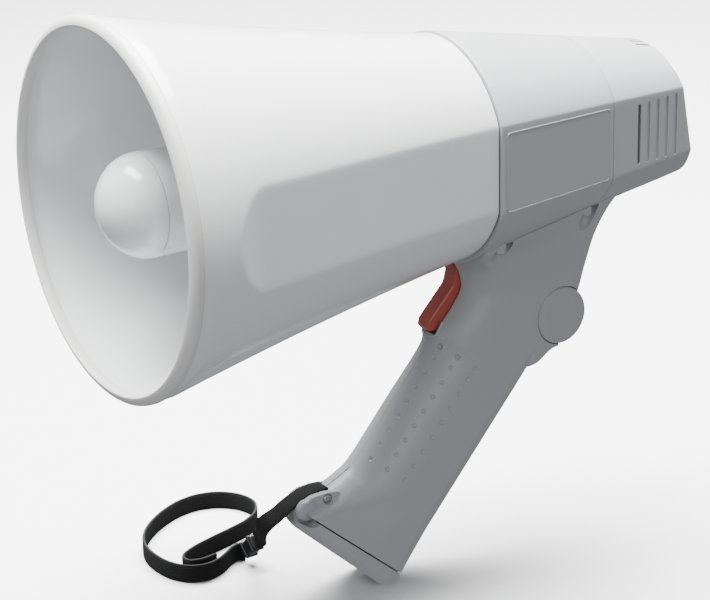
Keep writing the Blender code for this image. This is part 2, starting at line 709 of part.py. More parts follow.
# Body screws: (n, s, half width of the grip there)
GRIP_SCREWS = ((-6.0, -62.0, GRIP_HALF), (10.0, -98.0, 17.0), (-23.0, 52.0, 12.2))


def make_grip_fasteners():
    number = 0
    for x, y in SADDLE_SCREWS:
        for side in (-1, 1):
            number += 1
            turned(f"saddle_screw_{number}", "steel",
                   [(0.3, 0), (0.3, 3.0), (2.2, 3.0), (2.2, 1.5), (14, 1.5), (14, 0)],
                   horn(x, side * y, saddle_z(x) - 6.2), UP, 12)
    for i, (n, s, half) in enumerate(GRIP_SCREWS):
        turned(f"grip_screw_{i + 1}", "steel",
               [(3.3 - half, 0), (3.3 - half, 1.3), (half - 2.5, 1.3), (half - 2.5, 2.7), (half - 0.9, 2.7),
                (half - 0.9, 0)], grip(n, s), SIDE, 12)
    turned("strap_pin", "steel", [(0, 0), (0, 1.9), (1.2, 1.9), (1.2, 1.2), (25.2, 1.2), (25.2, 0)],
           grip(*STRAP_PIN, -13.4), SIDE, 14)
    bm = bmesh.new()
    add_rod(bm, grip(*HINGE, -12.2), grip(*HINGE, 12.2), 1.5, 12)
    solid("battery_cover_pin", bm, "steel")


# ---------------------------------------------------------------- moving pieces

def make_trigger():
    outline = [(170.9, -55.4), (169.9, -60.0), (168.8, -64.4), (155.6, -78.6), (155.3, -81.0), (156.8, -82.9),
               (161.2, -83.0), (167.0, -77.8), (177.0, -67.0), (182.4, -60.6), (182.4, -55.2), (178.6, -53.4),
               (173.5, -53.4)]
    pivot = horn(TRIGGER_PIVOT[0], 0, TRIGGER_PIVOT[1])
    bm = bmesh.new()
    add_plate(bm, outline, -4.4, 4.4, lambda x, z, y: horn(x, y, z))
    trigger = solid("talk_trigger", bm, "trigger_red", pivot)
    soften = trigger.modifiers.new("soften", "BEVEL")
    soften.width = 1.3 * MM
    soften.segments = 2
    soften.limit_method = "ANGLE"
    soften.angle_limit = math.radians(60)
    bm = bmesh.new()
    add_rod(bm, pivot - SIDE * 12 * MM, pivot + SIDE * 12 * MM, 1.8, 12)
    combine(trigger, cutter("cut_trigger_bore", bm))
    bm = bmesh.new()
    add_rod(bm, pivot - SIDE * 12 * MM, pivot + SIDE * 12 * MM, 1.5, 12)
    solid("trigger_pin", bm, "steel")
    bm = bmesh.new()
    points = []
    for step in range(25):
        angle = math.radians(45 * step)
        points.append(pivot + (BACK * math.cos(angle) + UP * math.sin(angle)) * 2.5 * MM
                      + SIDE * (5.2 + 0.105 * step) * MM)
    points.append(points[-1] + (BACK * 0.5 - UP).normalized() * 6 * MM)
    add_wire(bm, points, 0.35, 5)
    solid("trigger_spring", bm, "steel")
    bm = bmesh.new()
    add_block(bm, grip(-15.2, -57.0), (7.0, 6.4, 11.0), along=REARWARD, up=-DOWNGRIP)
    switch = solid("talk_switch", bm, "black_plastic")
    bm = bmesh.new()
    add_rod(bm, grip(-22.6, -53.6), grip(-16, -53.6), 1.4, 10)
    combine(switch, cutter("add_switch_plunger", bm), "UNION")


def add_wire(bm, points, radius, sides):
    """A round wire through a list of world points, its section carried along without twisting."""
    rings = []
    across = None
    for i, point in enumerate(points):
        axis = (points[min(len(points) - 1, i + 1)] - points[max(0, i - 1)]).normalized()
        if across is None:
            across = axis.cross(UP if abs(axis.z) < 0.9 else SIDE)
        across = (across - axis * across.dot(axis)).normalized()
        over = axis.cross(across)
        rings.append([point + (across * math.cos(t) + over * math.sin(t)) * radius * MM
                      for t in (2 * math.pi * k / sides for k in range(sides))])
    add_loft(bm, rings)


def make_dial():
    centre = grip(*DIAL)
    wheel = [(4.2, 2.6), (4.2, DIAL_R), (16.2, DIAL_R), (GRIP_HALF + 0.1, DIAL_R - 0.8), (GRIP_HALF + 0.1, 0)]
    profile = [(-a, r) for a, r in reversed(wheel)] + wheel
    bm = bmesh.new()
    add_turned(bm, profile, centre, SIDE, 32)
    solid("volume_dial", bm, "body_grey", centre)
    bm = bmesh.new()
    add_block(bm, centre - REARWARD * 9.6 * MM, (8.0, 5.6, 12.0), along=REARWARD, up=-DOWNGRIP)
    solid("volume_control", bm, "black_plastic")


# Cover section rings: front edge n, depth below the joint at the front and at the rear, inset of the sides
COVER_RINGS = ((-39.0, 0.3, 0.3, 0.0), (-38.0, 3.0, 4.6, 0.2), (-35.0, 5.8, 7.4, 1.3), (-30.5, 7.4, 9.2, 3.4))


def make_battery_cover():
    hinge = grip(*HINGE)
    bm = bmesh.new()
    rings = []
    for front, low_front, low_rear, inset in COVER_RINGS:
        rear = GRIP_REAR + 1.2 - inset
        station = (front, COVER_S + low_front, rear, COVER_S + low_rear, 4.0, 12.4, GRIP_HALF, GRIP_HALF, 9.2)
        points = [(a, max(h - inset, 0.0)) for a, h in half_outline(station)]
        run = Vector((station[2] - station[0], station[3] - station[1])).normalized()
        ring = []
        for side, row in ((1, points), (-1, points[-2:0:-1])):
            for along, half in row:
                ring.append(grip(front + run.x * along, station[1] + run.y * along, side * half))
        rings.append(ring)
    add_loft(bm, rings)
    cover = solid("battery_cover", bm, "body_grey", hinge)
    bm = bmesh.new()
    add_rod(bm, grip(*HINGE, 4.7), grip(*HINGE, 20), 5.5, 20)
    add_rod(bm, grip(*HINGE, -20), grip(*HINGE, -4.7), 5.5, 20)
    combine(cover, cutter("cut_cover_lugs", bm))
    bm = bmesh.new()
    add_rod(bm, grip(*HINGE, -4.5), grip(*HINGE, 4.5), 3.8, 20)
    combine(cover, cutter("add_cover_knuckle", bm), "UNION")
    bm = bmesh.new()
    add_rod(bm, grip(*HINGE, -16), grip(*HINGE, 16), 1.8, 12)
    combine(cover, cutter("cut_cover_bore", bm))
    bm = bmesh.new()
    add_block(bm, grip(20.6, COVER_S + 7.4), (6.0, 12.4, 6.0), along=REARWARD, up=-DOWNGRIP)
    combine(cover, cutter("cut_latch_pocket", bm))
    bm = bmesh.new()
    add_block(bm, grip(20.4, COVER_S + 7.0), (4.8, 11.6, 4.0), along=REARWARD, up=-DOWNGRIP)
    solid("cover_latch", bm, "black_plastic")


def make_batteries():
    number = 0
    for start in (-46.5, -46.5 + CELL_LENGTH + 2.6):
        for n, y in ((-11.2, 0.0), (9.6, -7.35), (9.6, 7.35)):
            number += 1
            turned(f"battery_cell_{number}", "cell_jacket",
                   [(0, 0), (0, CELL_R), (CELL_LENGTH - 1.6, CELL_R), (CELL_LENGTH - 1.4, 2.6), (CELL_LENGTH, 2.6),
                    (CELL_LENGTH, 0)], grip(n, start, y), DOWNGRIP, 16)
    outline = [(-18.5, -6.0), (-18.5, 6.0), (-7, 13.2), (16.6, 13.2), (16.6, -13.2), (-7, -13.2)]
    bm = bmesh.new()
    add_block(bm, grip(19.4, 4.9), (1.6, 12.0, 106.0), along=REARWARD, up=-DOWNGRIP)
    magazine = solid("battery_magazine", bm, "black_plastic")
    for i, s in enumerate((-48.2, 4.0, 56.5)):
        bm = bmesh.new()
        plate = outline[:3] + [(19.0, 13.2 - 2.4), (19.0, -13.2 + 2.4)] + outline[-1:]
        add_loft(bm, [[grip(n, s + d, y) for n, y in plate] for d in (0.0, 1.4 if i != 1 else 1.5)])
        combine(magazine, cutter(f"add_magazine_plate_{i + 1}", bm), "UNION")


def make_leads():
    for name, slot, route in (
        ("battery_leads", "red_wire",
         [grip(2, -53, 0), grip(2, -62, 0), grip(4, -72, 0), horn(206, 0, -66), horn(206, 0, -50),
          horn(204, 0, -36), horn(206, 0, -24), horn(206, 0, -14)]),
        ("driver_leads", "red_wire",
         [horn(195.6, 10, -12.0), horn(194.5, 16, -8), horn(193.4, 27, -2), horn(190, 32.5, 2), horn(182, 33, 2),
          horn(176, 32, 2), horn(173.4, 29.6, 2)]),
        ("microphone_lead", "black_plastic",
         [horn(258.4, 0, -12), horn(260, 0, -9), horn(262, 0, -4), horn(265.4, 0, 0)]),
    ):
        bm = bmesh.new()
        smooth = [Vector(p) for p in spline([tuple(p) for p in route], 2)]
        add_wire(bm, smooth, 0.9, 6)
        solid(name, bm, slot)


# ---------------------------------------------------------------- wrist strap

FLOOR_Z = -199.4           # the surface under the grip, in the horn frame
STRAP_MID = FLOOR_Z + 4.2
NECK_FROM_PIN = ((-33.0, 49.6, 0), (-35.4, 50.2, 0), (-37.8, 52.0, 0), (-39.8, 55.0, 0), (-41.5, 58.6, 0),
                 (-43.1, 62.8, 0), (-44.3, 67.2, 0.3), (-45.0, 72.0, 1.2), (-45.2, 77.0, 3.4))
NECK_TO_SLIDER = ((72.3, 8, -163.2), (78.0, 18, -170.8), (84.0, 28.6, -178.0), (86.8, 35.6, -182.0),
                  (87.6, 39.2, -184.6))
SLIDER_TOP = (87.8, 40.0, -185.4)
SLIDER_END = (87.3, 48.2, -193.6)
LOOP_ROUTE = ((87.0, 50.0), (85.0, 52.4), (80.6, 51.0), (75.6, 47.4), (69.6, 44.0), (62.0, 42.4), (54.4, 45.8),
              (49.2, 54.4),
              (47.6, 66.0), (48.9, 77.0), (53.4, 87.2), (61.4, 96.6), (72.6, 105.2), (85.0, 111.2), (96.4, 112.6),
              (106.6, 108.8), (113.4, 100.6), (115.2, 90.0), (110.4, 80.0), (101.6, 73.4), (90.4, 69.4),
              (78.0, 65.8), (66.4, 61.8), (58.0, 56.6), (57.6, 50.6), (63.4, 48.4), (71.4, 49.4))


def cord_tube(name, points, radius):
    """A plain tube along a route: the strap's stand-in."""
    curve = bpy.data.curves.new(name, "CURVE")
    curve.dimensions = "3D"
    line = curve.splines.new("POLY")
    line.points.add(len(points) - 1)
    for spot, point in zip(line.points, points):
        spot.co = (*point, 1.0)
    curve.bevel_depth = radius * MM
    curve.bevel_resolution = 2
    curve.use_fill_caps = True
    strap = bpy.data.objects.new(name, curve)
    bpy.context.collection.objects.link(strap)
    curve.materials.append(material("webbing"))


def make_strap():
    route = [grip(*p) for p in NECK_FROM_PIN] + [horn(*p) for p in NECK_TO_SLIDER]
    neck = spline([tuple(p) for p in route], 2)
    cord_tube("strap_neck", neck, 1.3)
    loop = spline([tuple(horn(x, y, STRAP_MID)) for x, y in LOOP_ROUTE], 2)
    cord_tube("strap_loop", loop, 2.0)
    bm = bmesh.new()
    top, end = horn(*SLIDER_TOP), horn(*SLIDER_END)
    along = (end - top).normalized()
    across = UP.cross(along).normalized()
    add_block(bm, (top + end) / 2, ((end - top).length / MM, 5.0, 7.0), along=along, up=along.cross(across))
    solid("strap_slider", bm, "black_plastic")


# ---------------------------------------------------------------- assembly

for old in list(bpy.data.objects):
    bpy.data.objects.remove(old)

DRIVER_SCREW_HOLES = screw_holes()
SADDLE = saddle_cutter()
make_bell()
make_reflector()
make_driver()
make_housing()
make_cap()
make_electronics()
make_label()
for half_name, half_side in (("grip_shell_left", -1), ("grip_shell_right", 1)):
    make_grip_half(half_name, half_side)
make_grip_fasteners()
make_trigger()
make_dial()
make_battery_cover()
make_batteries()
make_leads()
make_strap()
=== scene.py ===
"""Looks of the handheld megaphone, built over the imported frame.

The two placing helpers are those of the part's own source, so the pieces share the CAD's frame:
  horn(x, y, z)   x behind the mouth plane, z above the horn's axis, in mm
  grip(n, s, y)   n rearwards from the grip's centre line, s down the leaning grip, in mm
"""

import json
import math

import bmesh
import bpy
from mathutils import Matrix, Vector


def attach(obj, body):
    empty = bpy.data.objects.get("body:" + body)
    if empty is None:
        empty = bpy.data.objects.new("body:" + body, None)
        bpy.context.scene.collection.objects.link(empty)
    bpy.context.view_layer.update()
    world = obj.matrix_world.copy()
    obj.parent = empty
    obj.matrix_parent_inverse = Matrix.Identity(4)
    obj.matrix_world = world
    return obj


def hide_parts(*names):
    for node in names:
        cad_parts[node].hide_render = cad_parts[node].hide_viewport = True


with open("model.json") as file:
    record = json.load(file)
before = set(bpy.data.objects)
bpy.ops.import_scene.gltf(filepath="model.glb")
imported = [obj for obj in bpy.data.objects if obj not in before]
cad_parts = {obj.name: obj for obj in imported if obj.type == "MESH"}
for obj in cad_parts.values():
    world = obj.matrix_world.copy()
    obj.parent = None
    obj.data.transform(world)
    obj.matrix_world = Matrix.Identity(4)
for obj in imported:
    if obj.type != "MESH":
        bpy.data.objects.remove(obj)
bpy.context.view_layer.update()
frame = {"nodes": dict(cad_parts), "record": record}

MM = 0.001
MOUTH_TO_GRIP = 157.1
AXIS_HEIGHT = 128.7
LEAN = math.radians(40.7)
REARWARD = Vector((math.cos(LEAN), 0.0, -math.sin(LEAN)))
DOWNGRIP = Vector((-math.sin(LEAN), 0.0, -math.cos(LEAN)))
SIDE = Vector((0.0, 1.0, 0.0))
BACK = Vector((1.0, 0.0, 0.0))
UP = Vector((0.0, 0.0, 1.0))

JOINT_X = 164.2            # horn meets housing
SEAM_X = 234.3             # housing meets rear cap
BACK_X = 284.8             # rear edge of the cap, on the axis
BACK_SLANT = 0.21          # how far the rear leans back, per mm of height
BODY_TAPER = 0.171         # radius lost per mm behind the joint
FLAT_DEPTH = 3.65          # how deep the side flats cut into the body's round
SHELL = 2.4                # wall thickness
FLOOR_Z = -199.4           # in the horn's frame
FLOOR_HALF = 9.0           # metres
SADDLE_FRONT = 166.4       # ends of the seat where the grip meets the body
SADDLE_BACK = 250.2
SADDLE_LAP = 0.6           # how far the body reaches over the grip there
SADDLE_SCREWS = ((179.5, 25.5), (231.0, 20.5))
DIAL = (20.6, -74.2)       # (n, s) on the grip, as are HINGE, LUG and STRAP_PIN
DIAL_R = 13.6
HINGE = (-38.0, 65.0)      # the battery cover's hinge
LUG = (-37.2, 63.2)        # centre of the ear's round end, 2 mm from the hinge
STRAP_PIN = (-31.6, 53.9)
COVER_S = 65.0             # the s where the grip ends and the battery cover begins
SLOT_HALF = 4.9            # half width of the trigger's and the strap's slots
THROAT_R = 34.0            # opening in the horn's rear wall


def horn(x, y=0.0, z=0.0):
    """A world point from the horn's frame."""
    return Vector(((x - MOUTH_TO_GRIP) * MM, y * MM, (z + AXIS_HEIGHT) * MM))


def grip(n, s, y=0.0):
    """A world point from the grip's frame."""
    return (REARWARD * n + DOWNGRIP * s + SIDE * y) * MM


def from_horn(x, z):
    """The (n, s) of a mid-plane point given in the horn's frame."""
    world = horn(x, 0, z)
    return world.dot(REARWARD) / MM, world.dot(DOWNGRIP) / MM


# ---------------------------------------------------------------- camera, floor and light

def make_camera():
    """A long lens on the -y side, ahead of the mouth, looking a little down."""
    yaw, pitch, roll = math.radians(32.23), math.radians(19.44), math.radians(-1.29)
    forward = Vector((math.sin(yaw) * math.cos(pitch), math.cos(yaw) * math.cos(pitch), -math.sin(pitch)))
    right = forward.cross(UP).normalized()
    up = right.cross(forward)
    turned_right = right * math.cos(roll) + up * math.sin(roll)
    turned_up = up * math.cos(roll) - right * math.sin(roll)
    data = bpy.data.cameras.new("camera")
    data.sensor_width = 36.0
    data.lens = 114.08
    camera = bpy.data.objects.new("camera", data)
    place = Matrix((turned_right, turned_up, -forward)).transposed().to_4x4()
    aim, distance = Vector((-0.03743, 0.0, 0.06659)), 0.98749
    place.translation = aim - forward * distance
    camera.matrix_world = place
    bpy.context.collection.objects.link(camera)
    bpy.context.scene.camera = camera


def make_light(name, place, target, size, power):
    data = bpy.data.lights.new(name, "AREA")
    data.shape = "RECTANGLE"
    data.size, data.size_y = size
    data.energy = power
    lamp = bpy.data.objects.new(name, data)
    lamp.location = place
    lamp.rotation_euler = (Vector(target) - Vector(place)).to_track_quat("-Z", "Y").to_euler()
    bpy.context.collection.objects.link(lamp)


def make_stage():
    """A pale floor that throws no light back, an even grey world, a big top light and two weak fills."""
    bm = bmesh.new()
    clear = 0.4 * MM
    z = (FLOOR_Z + AXIS_HEIGHT) * MM - clear
    corners = ((-1, -1), (1, -1), (1, 1), (-1, 1))
    bm.faces.new([bm.verts.new((x * FLOOR_HALF, y * FLOOR_HALF, z)) for x, y in corners])
    floor = mesh_object("floor", bm)
    floor.visible_diffuse = False
    floor.visible_glossy = False
    made = bpy.data.materials.new("floor_paper")
    made.use_nodes = True
    nodes, links = made.node_tree.nodes, made.node_tree.links
    shader = nodes["Principled BSDF"]
    shader.inputs["Roughness"].default_value = 0.9
    noise = nodes.new("ShaderNodeTexNoise")
    noise.inputs["Scale"].default_value = 3.0
    ramp = nodes.new("ShaderNodeValToRGB")
    ramp.color_ramp.elements[0].color = (0.86, 0.86, 0.865, 1)
    ramp.color_ramp.elements[1].color = (0.88, 0.88, 0.885, 1)
    links.new(noise.outputs["Fac"], ramp.inputs["Fac"])
    links.new(ramp.outputs["Color"], shader.inputs["Base Color"])
    floor.data.materials.append(made)
    world = bpy.data.worlds.new("studio")
    bpy.context.scene.world = world
    world.use_nodes = True
    sky = world.node_tree.nodes["Background"]
    sky.inputs["Color"].default_value = (0.96, 0.98, 1.0, 1.0)
    sky.inputs["Strength"].default_value = 0.36
    make_light("top_softbox", (0.0, 0.3, 1.5), (0, 0, 0.1), (1.7, 1.2), 270)
    make_light("front_fill", (-1.7, -0.35, 0.6), (-0.1, 0, 0.12), (0.9, 0.9), 5)
    make_light("side_fill", (-0.4, -1.6, 0.6), (0, 0, 0.08), (1.0, 1.0), 5)


# ---------------------------------------------------------------- materials

def surface(name, colour, rough, metal=0.0, grain=1500.0, bump=0.00003, drift=0.04, coat=0.0, spread=0.06):
    """A moulded or machined finish: fine surface grain, faint colour drift and uneven gloss."""
    made = bpy.data.materials.new(name)
    made.use_nodes = True
    nodes, links = made.node_tree.nodes, made.node_tree.links
    shader = nodes["Principled BSDF"]
    shader.inputs["Metallic"].default_value = metal
    if coat:
        shader.inputs["Coat Weight"].default_value = coat
        shader.inputs["Coat Roughness"].default_value = 0.08
    where = nodes.new("ShaderNodeTexCoord")
    cloud = nodes.new("ShaderNodeTexNoise")
    cloud.inputs["Scale"].default_value = 22.0
    cloud.inputs["Detail"].default_value = 5.0
    tint = nodes.new("ShaderNodeValToRGB")
    tint.color_ramp.elements[0].position = 0.3
    tint.color_ramp.elements[0].color = (*[c * (1 - drift) for c in colour], 1)
    tint.color_ramp.elements[1].position = 0.7
    tint.color_ramp.elements[1].color = (*[min(1.0, c * (1 + drift)) for c in colour], 1)
    smear = nodes.new("ShaderNodeTexNoise")
    smear.inputs["Scale"].default_value = 70.0
    smear.inputs["Detail"].default_value = 6.0
    gloss = nodes.new("ShaderNodeMapRange")
    gloss.inputs["To Min"].default_value = max(0.02, rough - spread)
    gloss.inputs["To Max"].default_value = rough + spread
    pores = nodes.new("ShaderNodeTexNoise")
    pores.inputs["Scale"].default_value = grain
    pores.inputs["Detail"].default_value = 2.0
    relief = nodes.new("ShaderNodeBump")
    relief.inputs["Strength"].default_value = 0.5
    relief.inputs["Distance"].default_value = bump
    for texture in (cloud, smear, pores):
        links.new(where.outputs["Object"], texture.inputs["Vector"])
    links.new(cloud.outputs["Fac"], tint.inputs["Fac"])
    links.new(tint.outputs["Color"], shader.inputs["Base Color"])
    links.new(smear.outputs["Fac"], gloss.inputs["Value"])
    links.new(gloss.outputs["Result"], shader.inputs["Roughness"])
    links.new(pores.outputs["Fac"], relief.inputs["Height"])
    links.new(relief.outputs["Normal"], shader.inputs["Normal"])
    return made


def woven(name):
    """Black webbing: ribs across the band over a finer weave along it, from the band's own UV map in metres; its
    colour shows the weave and is darker in the weave's hollows, as painted shade.
    """
    made = surface(name, (0.014, 0.014, 0.015), 0.72, bump=0.00005, drift=0.3)
    nodes, links = made.node_tree.nodes, made.node_tree.links
    shader = nodes["Principled BSDF"]
    shader.inputs["Specular IOR Level"].default_value = 0.2
    uv = nodes.new("ShaderNodeUVMap")
    uv.uv_map = "weave"
    ribs = nodes.new("ShaderNodeTexWave")
    ribs.wave_profile = "SIN"
    ribs.bands_direction = "DIAGONAL"
    ribs.inputs["Scale"].default_value = 520.0
    threads = nodes.new("ShaderNodeTexWave")
    threads.bands_direction = "Y"
    threads.inputs["Scale"].default_value = 390.0
    both = nodes.new("ShaderNodeMath")
    both.operation = "MULTIPLY"
    cloth = nodes.new("ShaderNodeBump")
    cloth.inputs["Strength"].default_value = 1.0
    cloth.inputs["Distance"].default_value = 0.00035
    # painted shade: the webbing's colour follows the weave's height, darker in the grooves between threads
    painted_groove_shade = nodes.new("ShaderNodeValToRGB")
    painted_groove_shade.color_ramp.elements[0].color = (0.008, 0.008, 0.008, 1)
    painted_groove_shade.color_ramp.elements[1].color = (0.035, 0.035, 0.037, 1)
    for wave in (ribs, threads):
        links.new(uv.outputs["UV"], wave.inputs["Vector"])
    links.new(ribs.outputs["Fac"], both.inputs[0])
    links.new(threads.outputs["Fac"], both.inputs[1])
    links.new(both.outputs["Value"], cloth.inputs["Height"])
    links.new(both.outputs["Value"], painted_groove_shade.inputs["Fac"])
    links.new(painted_groove_shade.outputs["Color"], shader.inputs["Base Color"])
    links.new(cloth.outputs["Normal"], shader.inputs["Normal"])
    return made


FINISHES = {
    "horn_white": surface("horn_white_gloss", (0.84, 0.85, 0.86), 0.2, bump=0.00001, drift=0.01, coat=0.3,
                          grain=700),
    "rim_white": surface("rim_white_satin", (0.72, 0.72, 0.70), 0.34, bump=0.00002, drift=0.02),
    "body_grey": surface("body_grey_satin", (0.42, 0.425, 0.445), 0.34, bump=0.00004, drift=0.02, grain=1300),
    "trigger_red": surface("trigger_red_plastic", (0.43, 0.062, 0.047), 0.28, coat=0.35, bump=0.00008,
                           drift=0.12, grain=900),
    "black_plastic": surface("black_plastic_satin", (0.012, 0.012, 0.013), 0.38, bump=0.00004, drift=0.1),
    "inner_plastic": surface("diaphragm_film", (0.55, 0.52, 0.46), 0.45, drift=0.05),
    "steel": surface("plated_steel", (0.60, 0.60, 0.61), 0.34, metal=1.0, bump=0.00002, grain=2500),
    "magnet": surface("ferrite", (0.05, 0.05, 0.055), 0.62, bump=0.0001, drift=0.15),
    "copper": surface("enamelled_copper", (0.72, 0.33, 0.17), 0.32, metal=1.0, bump=0.00008, grain=3000),
    "board_green": surface("board_lacquer", (0.02, 0.14, 0.06), 0.3, bump=0.00006, drift=0.2, grain=500),
    "foam": surface("open_foam", (0.03, 0.03, 0.033), 0.95, bump=0.0006, drift=0.3, grain=1100),
    "label_grey": surface("label_film", (0.38, 0.385, 0.40), 0.42, bump=0.00003, drift=0.01, grain=1800),
    "cell_jacket": surface("cell_jacket_film", (0.04, 0.10, 0.32), 0.3, bump=0.00002, drift=0.08),
    "webbing": woven("black_webbing"),
    "red_wire": surface("red_wire_sleeve", (0.36, 0.02, 0.02), 0.4, drift=0.08),
}


# ---------------------------------------------------------------- mesh helpers

def mesh_object(name, bm, sharp=30.0):
    bmesh.ops.recalc_face_normals(bm, faces=bm.faces)
    mesh = bpy.data.meshes.new(name)
    bm.to_mesh(mesh)
    bm.free()
    mesh.shade_smooth()
    mesh.set_sharp_from_angle(angle=math.radians(sharp))
    piece = bpy.data.objects.new(name, mesh)
    bpy.context.collection.objects.link(piece)
    return piece


def finish(piece, slot, body, *nodes, sharp=30.0):
    """Apply a piece's modifiers, give it its finish and body, and let it stand for its CAD nodes."""
    if piece.modifiers:
        bpy.context.view_layer.update()
        shape = piece.evaluated_get(bpy.context.evaluated_depsgraph_get())
        baked = bpy.data.meshes.new_from_object(shape)
        piece.modifiers.clear()
        piece.data = baked
        baked.shade_smooth()
        baked.set_sharp_from_angle(angle=math.radians(sharp))
    piece.data.materials.clear()
    piece.data.materials.append(FINISHES[slot])
    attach(piece, body)
    if nodes:
        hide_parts(*nodes)
    return piece


def combine(piece, bm, operation="DIFFERENCE", solver="MANIFOLD"):
    """Cut, join or intersect the piece with a mesh, at once."""
    tool = mesh_object("tool", bm)
    step = piece.modifiers.new("step", "BOOLEAN")
    step.operation = operation
    step.solver = solver
    step.object = tool
    bpy.context.view_layer.update()
    shape = piece.evaluated_get(bpy.context.evaluated_depsgraph_get())
    result = bpy.data.meshes.new_from_object(shape)
    if not result.polygons:
        raise RuntimeError(f"{piece.name}: a boolean step left nothing")
    piece.modifiers.clear()
    piece.data = result
    bpy.data.objects.remove(tool)
    result.shade_smooth()
    result.set_sharp_from_angle(angle=math.radians(30))


def add_ring(bm, points):
    return [bm.verts.new(p) for p in points]


def bridge(bm, a, b):
    for i in range(len(a)):
        j = (i + 1) % len(a)
        bm.faces.new((a[i], a[j], b[j], b[i]))


def add_loft(bm, rings):
    rows = [add_ring(bm, ring) for ring in rings]
    for a, b in zip(rows, rows[1:]):
        bridge(bm, a, b)
    bm.faces.new(reversed(rows[0]))
    bm.faces.new(rows[-1])


def add_pipe(bm, outer, inner):
    rows = [add_ring(bm, ring) for ring in outer] + [add_ring(bm, ring) for ring in reversed(inner)]
    for a, b in zip(rows, rows[1:] + rows[:1]):
        bridge(bm, a, b)


def circle(centre, axis, radius, sides):
    axis = axis.normalized()
    across = axis.cross(UP if abs(axis.z) < 0.9 else SIDE).normalized()
    over = axis.cross(across)
    turn = [2 * math.pi * i / sides for i in range(sides)]
    return [centre + (across * math.cos(t) + over * math.sin(t)) * radius * MM for t in turn]


def add_turned(bm, profile, origin, axis, sides=64):
    """Turn an outline of (along, radius) pairs round an axis; it may start and end on the axis."""
    rows = [add_ring(bm, circle(origin + axis * a * MM, axis, r, sides)) for a, r in profile if r > 0]
    for a, b in zip(rows, rows[1:]):
        bridge(bm, a, b)
    if profile[0][1] > 0:
        bridge(bm, rows[-1], rows[0])
        return
    for row, (a, _) in ((rows[0], profile[0]), (rows[-1], profile[-1])):
        pole = bm.verts.new(origin + axis * a * MM)
        for i, vert in enumerate(row):
            bm.faces.new((vert, row[(i + 1) % sides], pole))


def turned(name, profile, origin, axis=BACK, sides=96):
    bm = bmesh.new()
    add_turned(bm, profile, origin, axis, sides)
    return mesh_object(name, bm)


def add_rod(bm, start, end, radius, sides=32):
    axis = (end - start).normalized()
    add_loft(bm, [circle(start, axis, radius, sides), circle(end, axis, radius, sides)])


def add_block(bm, centre, size, along=BACK, up=UP):
    side = up.cross(along)
    a, b, c = (axis * length * 0.5 * MM for axis, length in zip((along, side, up), size))
    add_loft(bm, [[centre + a * i + b * j + c * k for i, j in ((-1, -1), (1, -1), (1, 1), (-1, 1))]
                  for k in (-1, 1)])


def rounded(corners, radius, steps=5):
    """Round every corner of a closed 2-D outline; a corner may carry its own radius as a third number."""
    out = []
    for i, corner in enumerate(corners):
        here = Vector(corner[:2])
        r = corner[2] if len(corner) > 2 else radius
        before = Vector(corners[i - 1][:2]) - here
        after = Vector(corners[(i + 1) % len(corners)][:2]) - here
        reach = min(r / math.tan(before.angle(after) / 2), before.length * 0.49, after.length * 0.49)
        start, end = here + before.normalized() * reach, here + after.normalized() * reach
        for k in range(steps + 1):
            t = k / steps
            out.append(tuple(start * (1 - t) ** 2 + here * 2 * t * (1 - t) + end * t * t))
    return out


def add_plate(bm, outline, levels, place):
    """Loft a 2-D outline through (offset inwards, y) levels; place(u, v, y) gives world points."""
    count = len(outline)
    sign = inset_sign(outline)
    rings = []
    for inset, y in levels:
        ring = []
        for i, p in enumerate(outline):
            run = Vector(outline[(i + 1) % count]) - Vector(outline[i - 1])
            normal = Vector((run.y, -run.x)).normalized()
            ring.append(place(*(Vector(p) + normal * inset * sign), y))
        rings.append(ring)
    add_loft(bm, rings)


def inset_sign(outline):
    """+1 where turning right of the outline's run leads inside it, for either winding."""
    area = sum(a[0] * b[1] - b[0] * a[1] for a, b in zip(outline, outline[1:] + outline[:1]))
    return -1 if area > 0 else 1


def smooth_step(low, high, value):
    """0 below low, 1 above high, and an even curve between."""
    t = min(1.0, max(0.0, (value - low) / (high - low)))
    return t * t * (3 - 2 * t)


def spline(points, per_span):
    """Catmull-Rom points through a list of equal-length tuples."""
    ends = [points[0]] + list(points) + [points[-1]]
    out = []
    for i in range(1, len(ends) - 2):
        p = ends[i - 1:i + 3]
        for k in range(per_span):
            t = k / per_span
            weights = (-t + 2 * t**2 - t**3, 2 - 5 * t**2 + 3 * t**3, t + 4 * t**2 - 3 * t**3, t**3 - t**2)
            out.append(tuple(0.5 * sum(w * q[c] for w, q in zip(weights, p)) for c in range(len(p[0]))))
    return out + [tuple(points[-1])]


def steps(low, high, count):
    """Values from low to high, closer together at both ends."""
    return [low + (high - low) * (0.5 - 0.5 * math.cos(math.pi * i / count)) for i in range(count)]


# ---------------------------------------------------------------- wrist strap

STRAP_MID = FLOOR_Z + 4.2
NECK_FROM_PIN = ((-31.4, 50.2, 0), (-33.4, 51.6, 0), (-35.8, 53.9, 0), (-38.5, 57.4, 0), (-41.0, 61.4, 0),
                 (-43.1, 66.2, 0), (-44.4, 71.6, 0.6), (-45.2, 77.4, 3.0))
NECK_TO_SLIDER = ((72.3, 8, -163.2), (78.0, 18, -170.8), (84.0, 28.6, -178.0), (86.8, 35.6, -182.0),
                  (87.6, 39.2, -184.6))
SLIDER_TOP = (87.8, 40.0, -185.4)
SLIDER_END = (87.3, 48.2, -193.6)
LOOP_ROUTE = ((87.0, 50.0), (85.0, 52.4), (80.6, 51.0), (75.6, 47.4), (69.6, 44.0), (62.0, 42.4), (54.4, 45.8),
              (49.2, 54.4), (47.6, 66.0), (48.9, 77.0), (53.4, 87.2), (61.4, 96.6), (72.6, 105.2), (85.0, 111.2),
              (96.4, 112.6), (106.6, 108.8), (113.4, 100.6), (115.2, 90.0), (110.4, 80.0), (101.6, 73.4),
              (90.4, 69.4), (78.0, 65.8), (66.4, 61.8), (58.0, 56.6), (57.6, 50.6), (63.4, 48.4), (71.4, 49.4))
BAND_WIDE = 9.0
BAND_THICK = 1.4


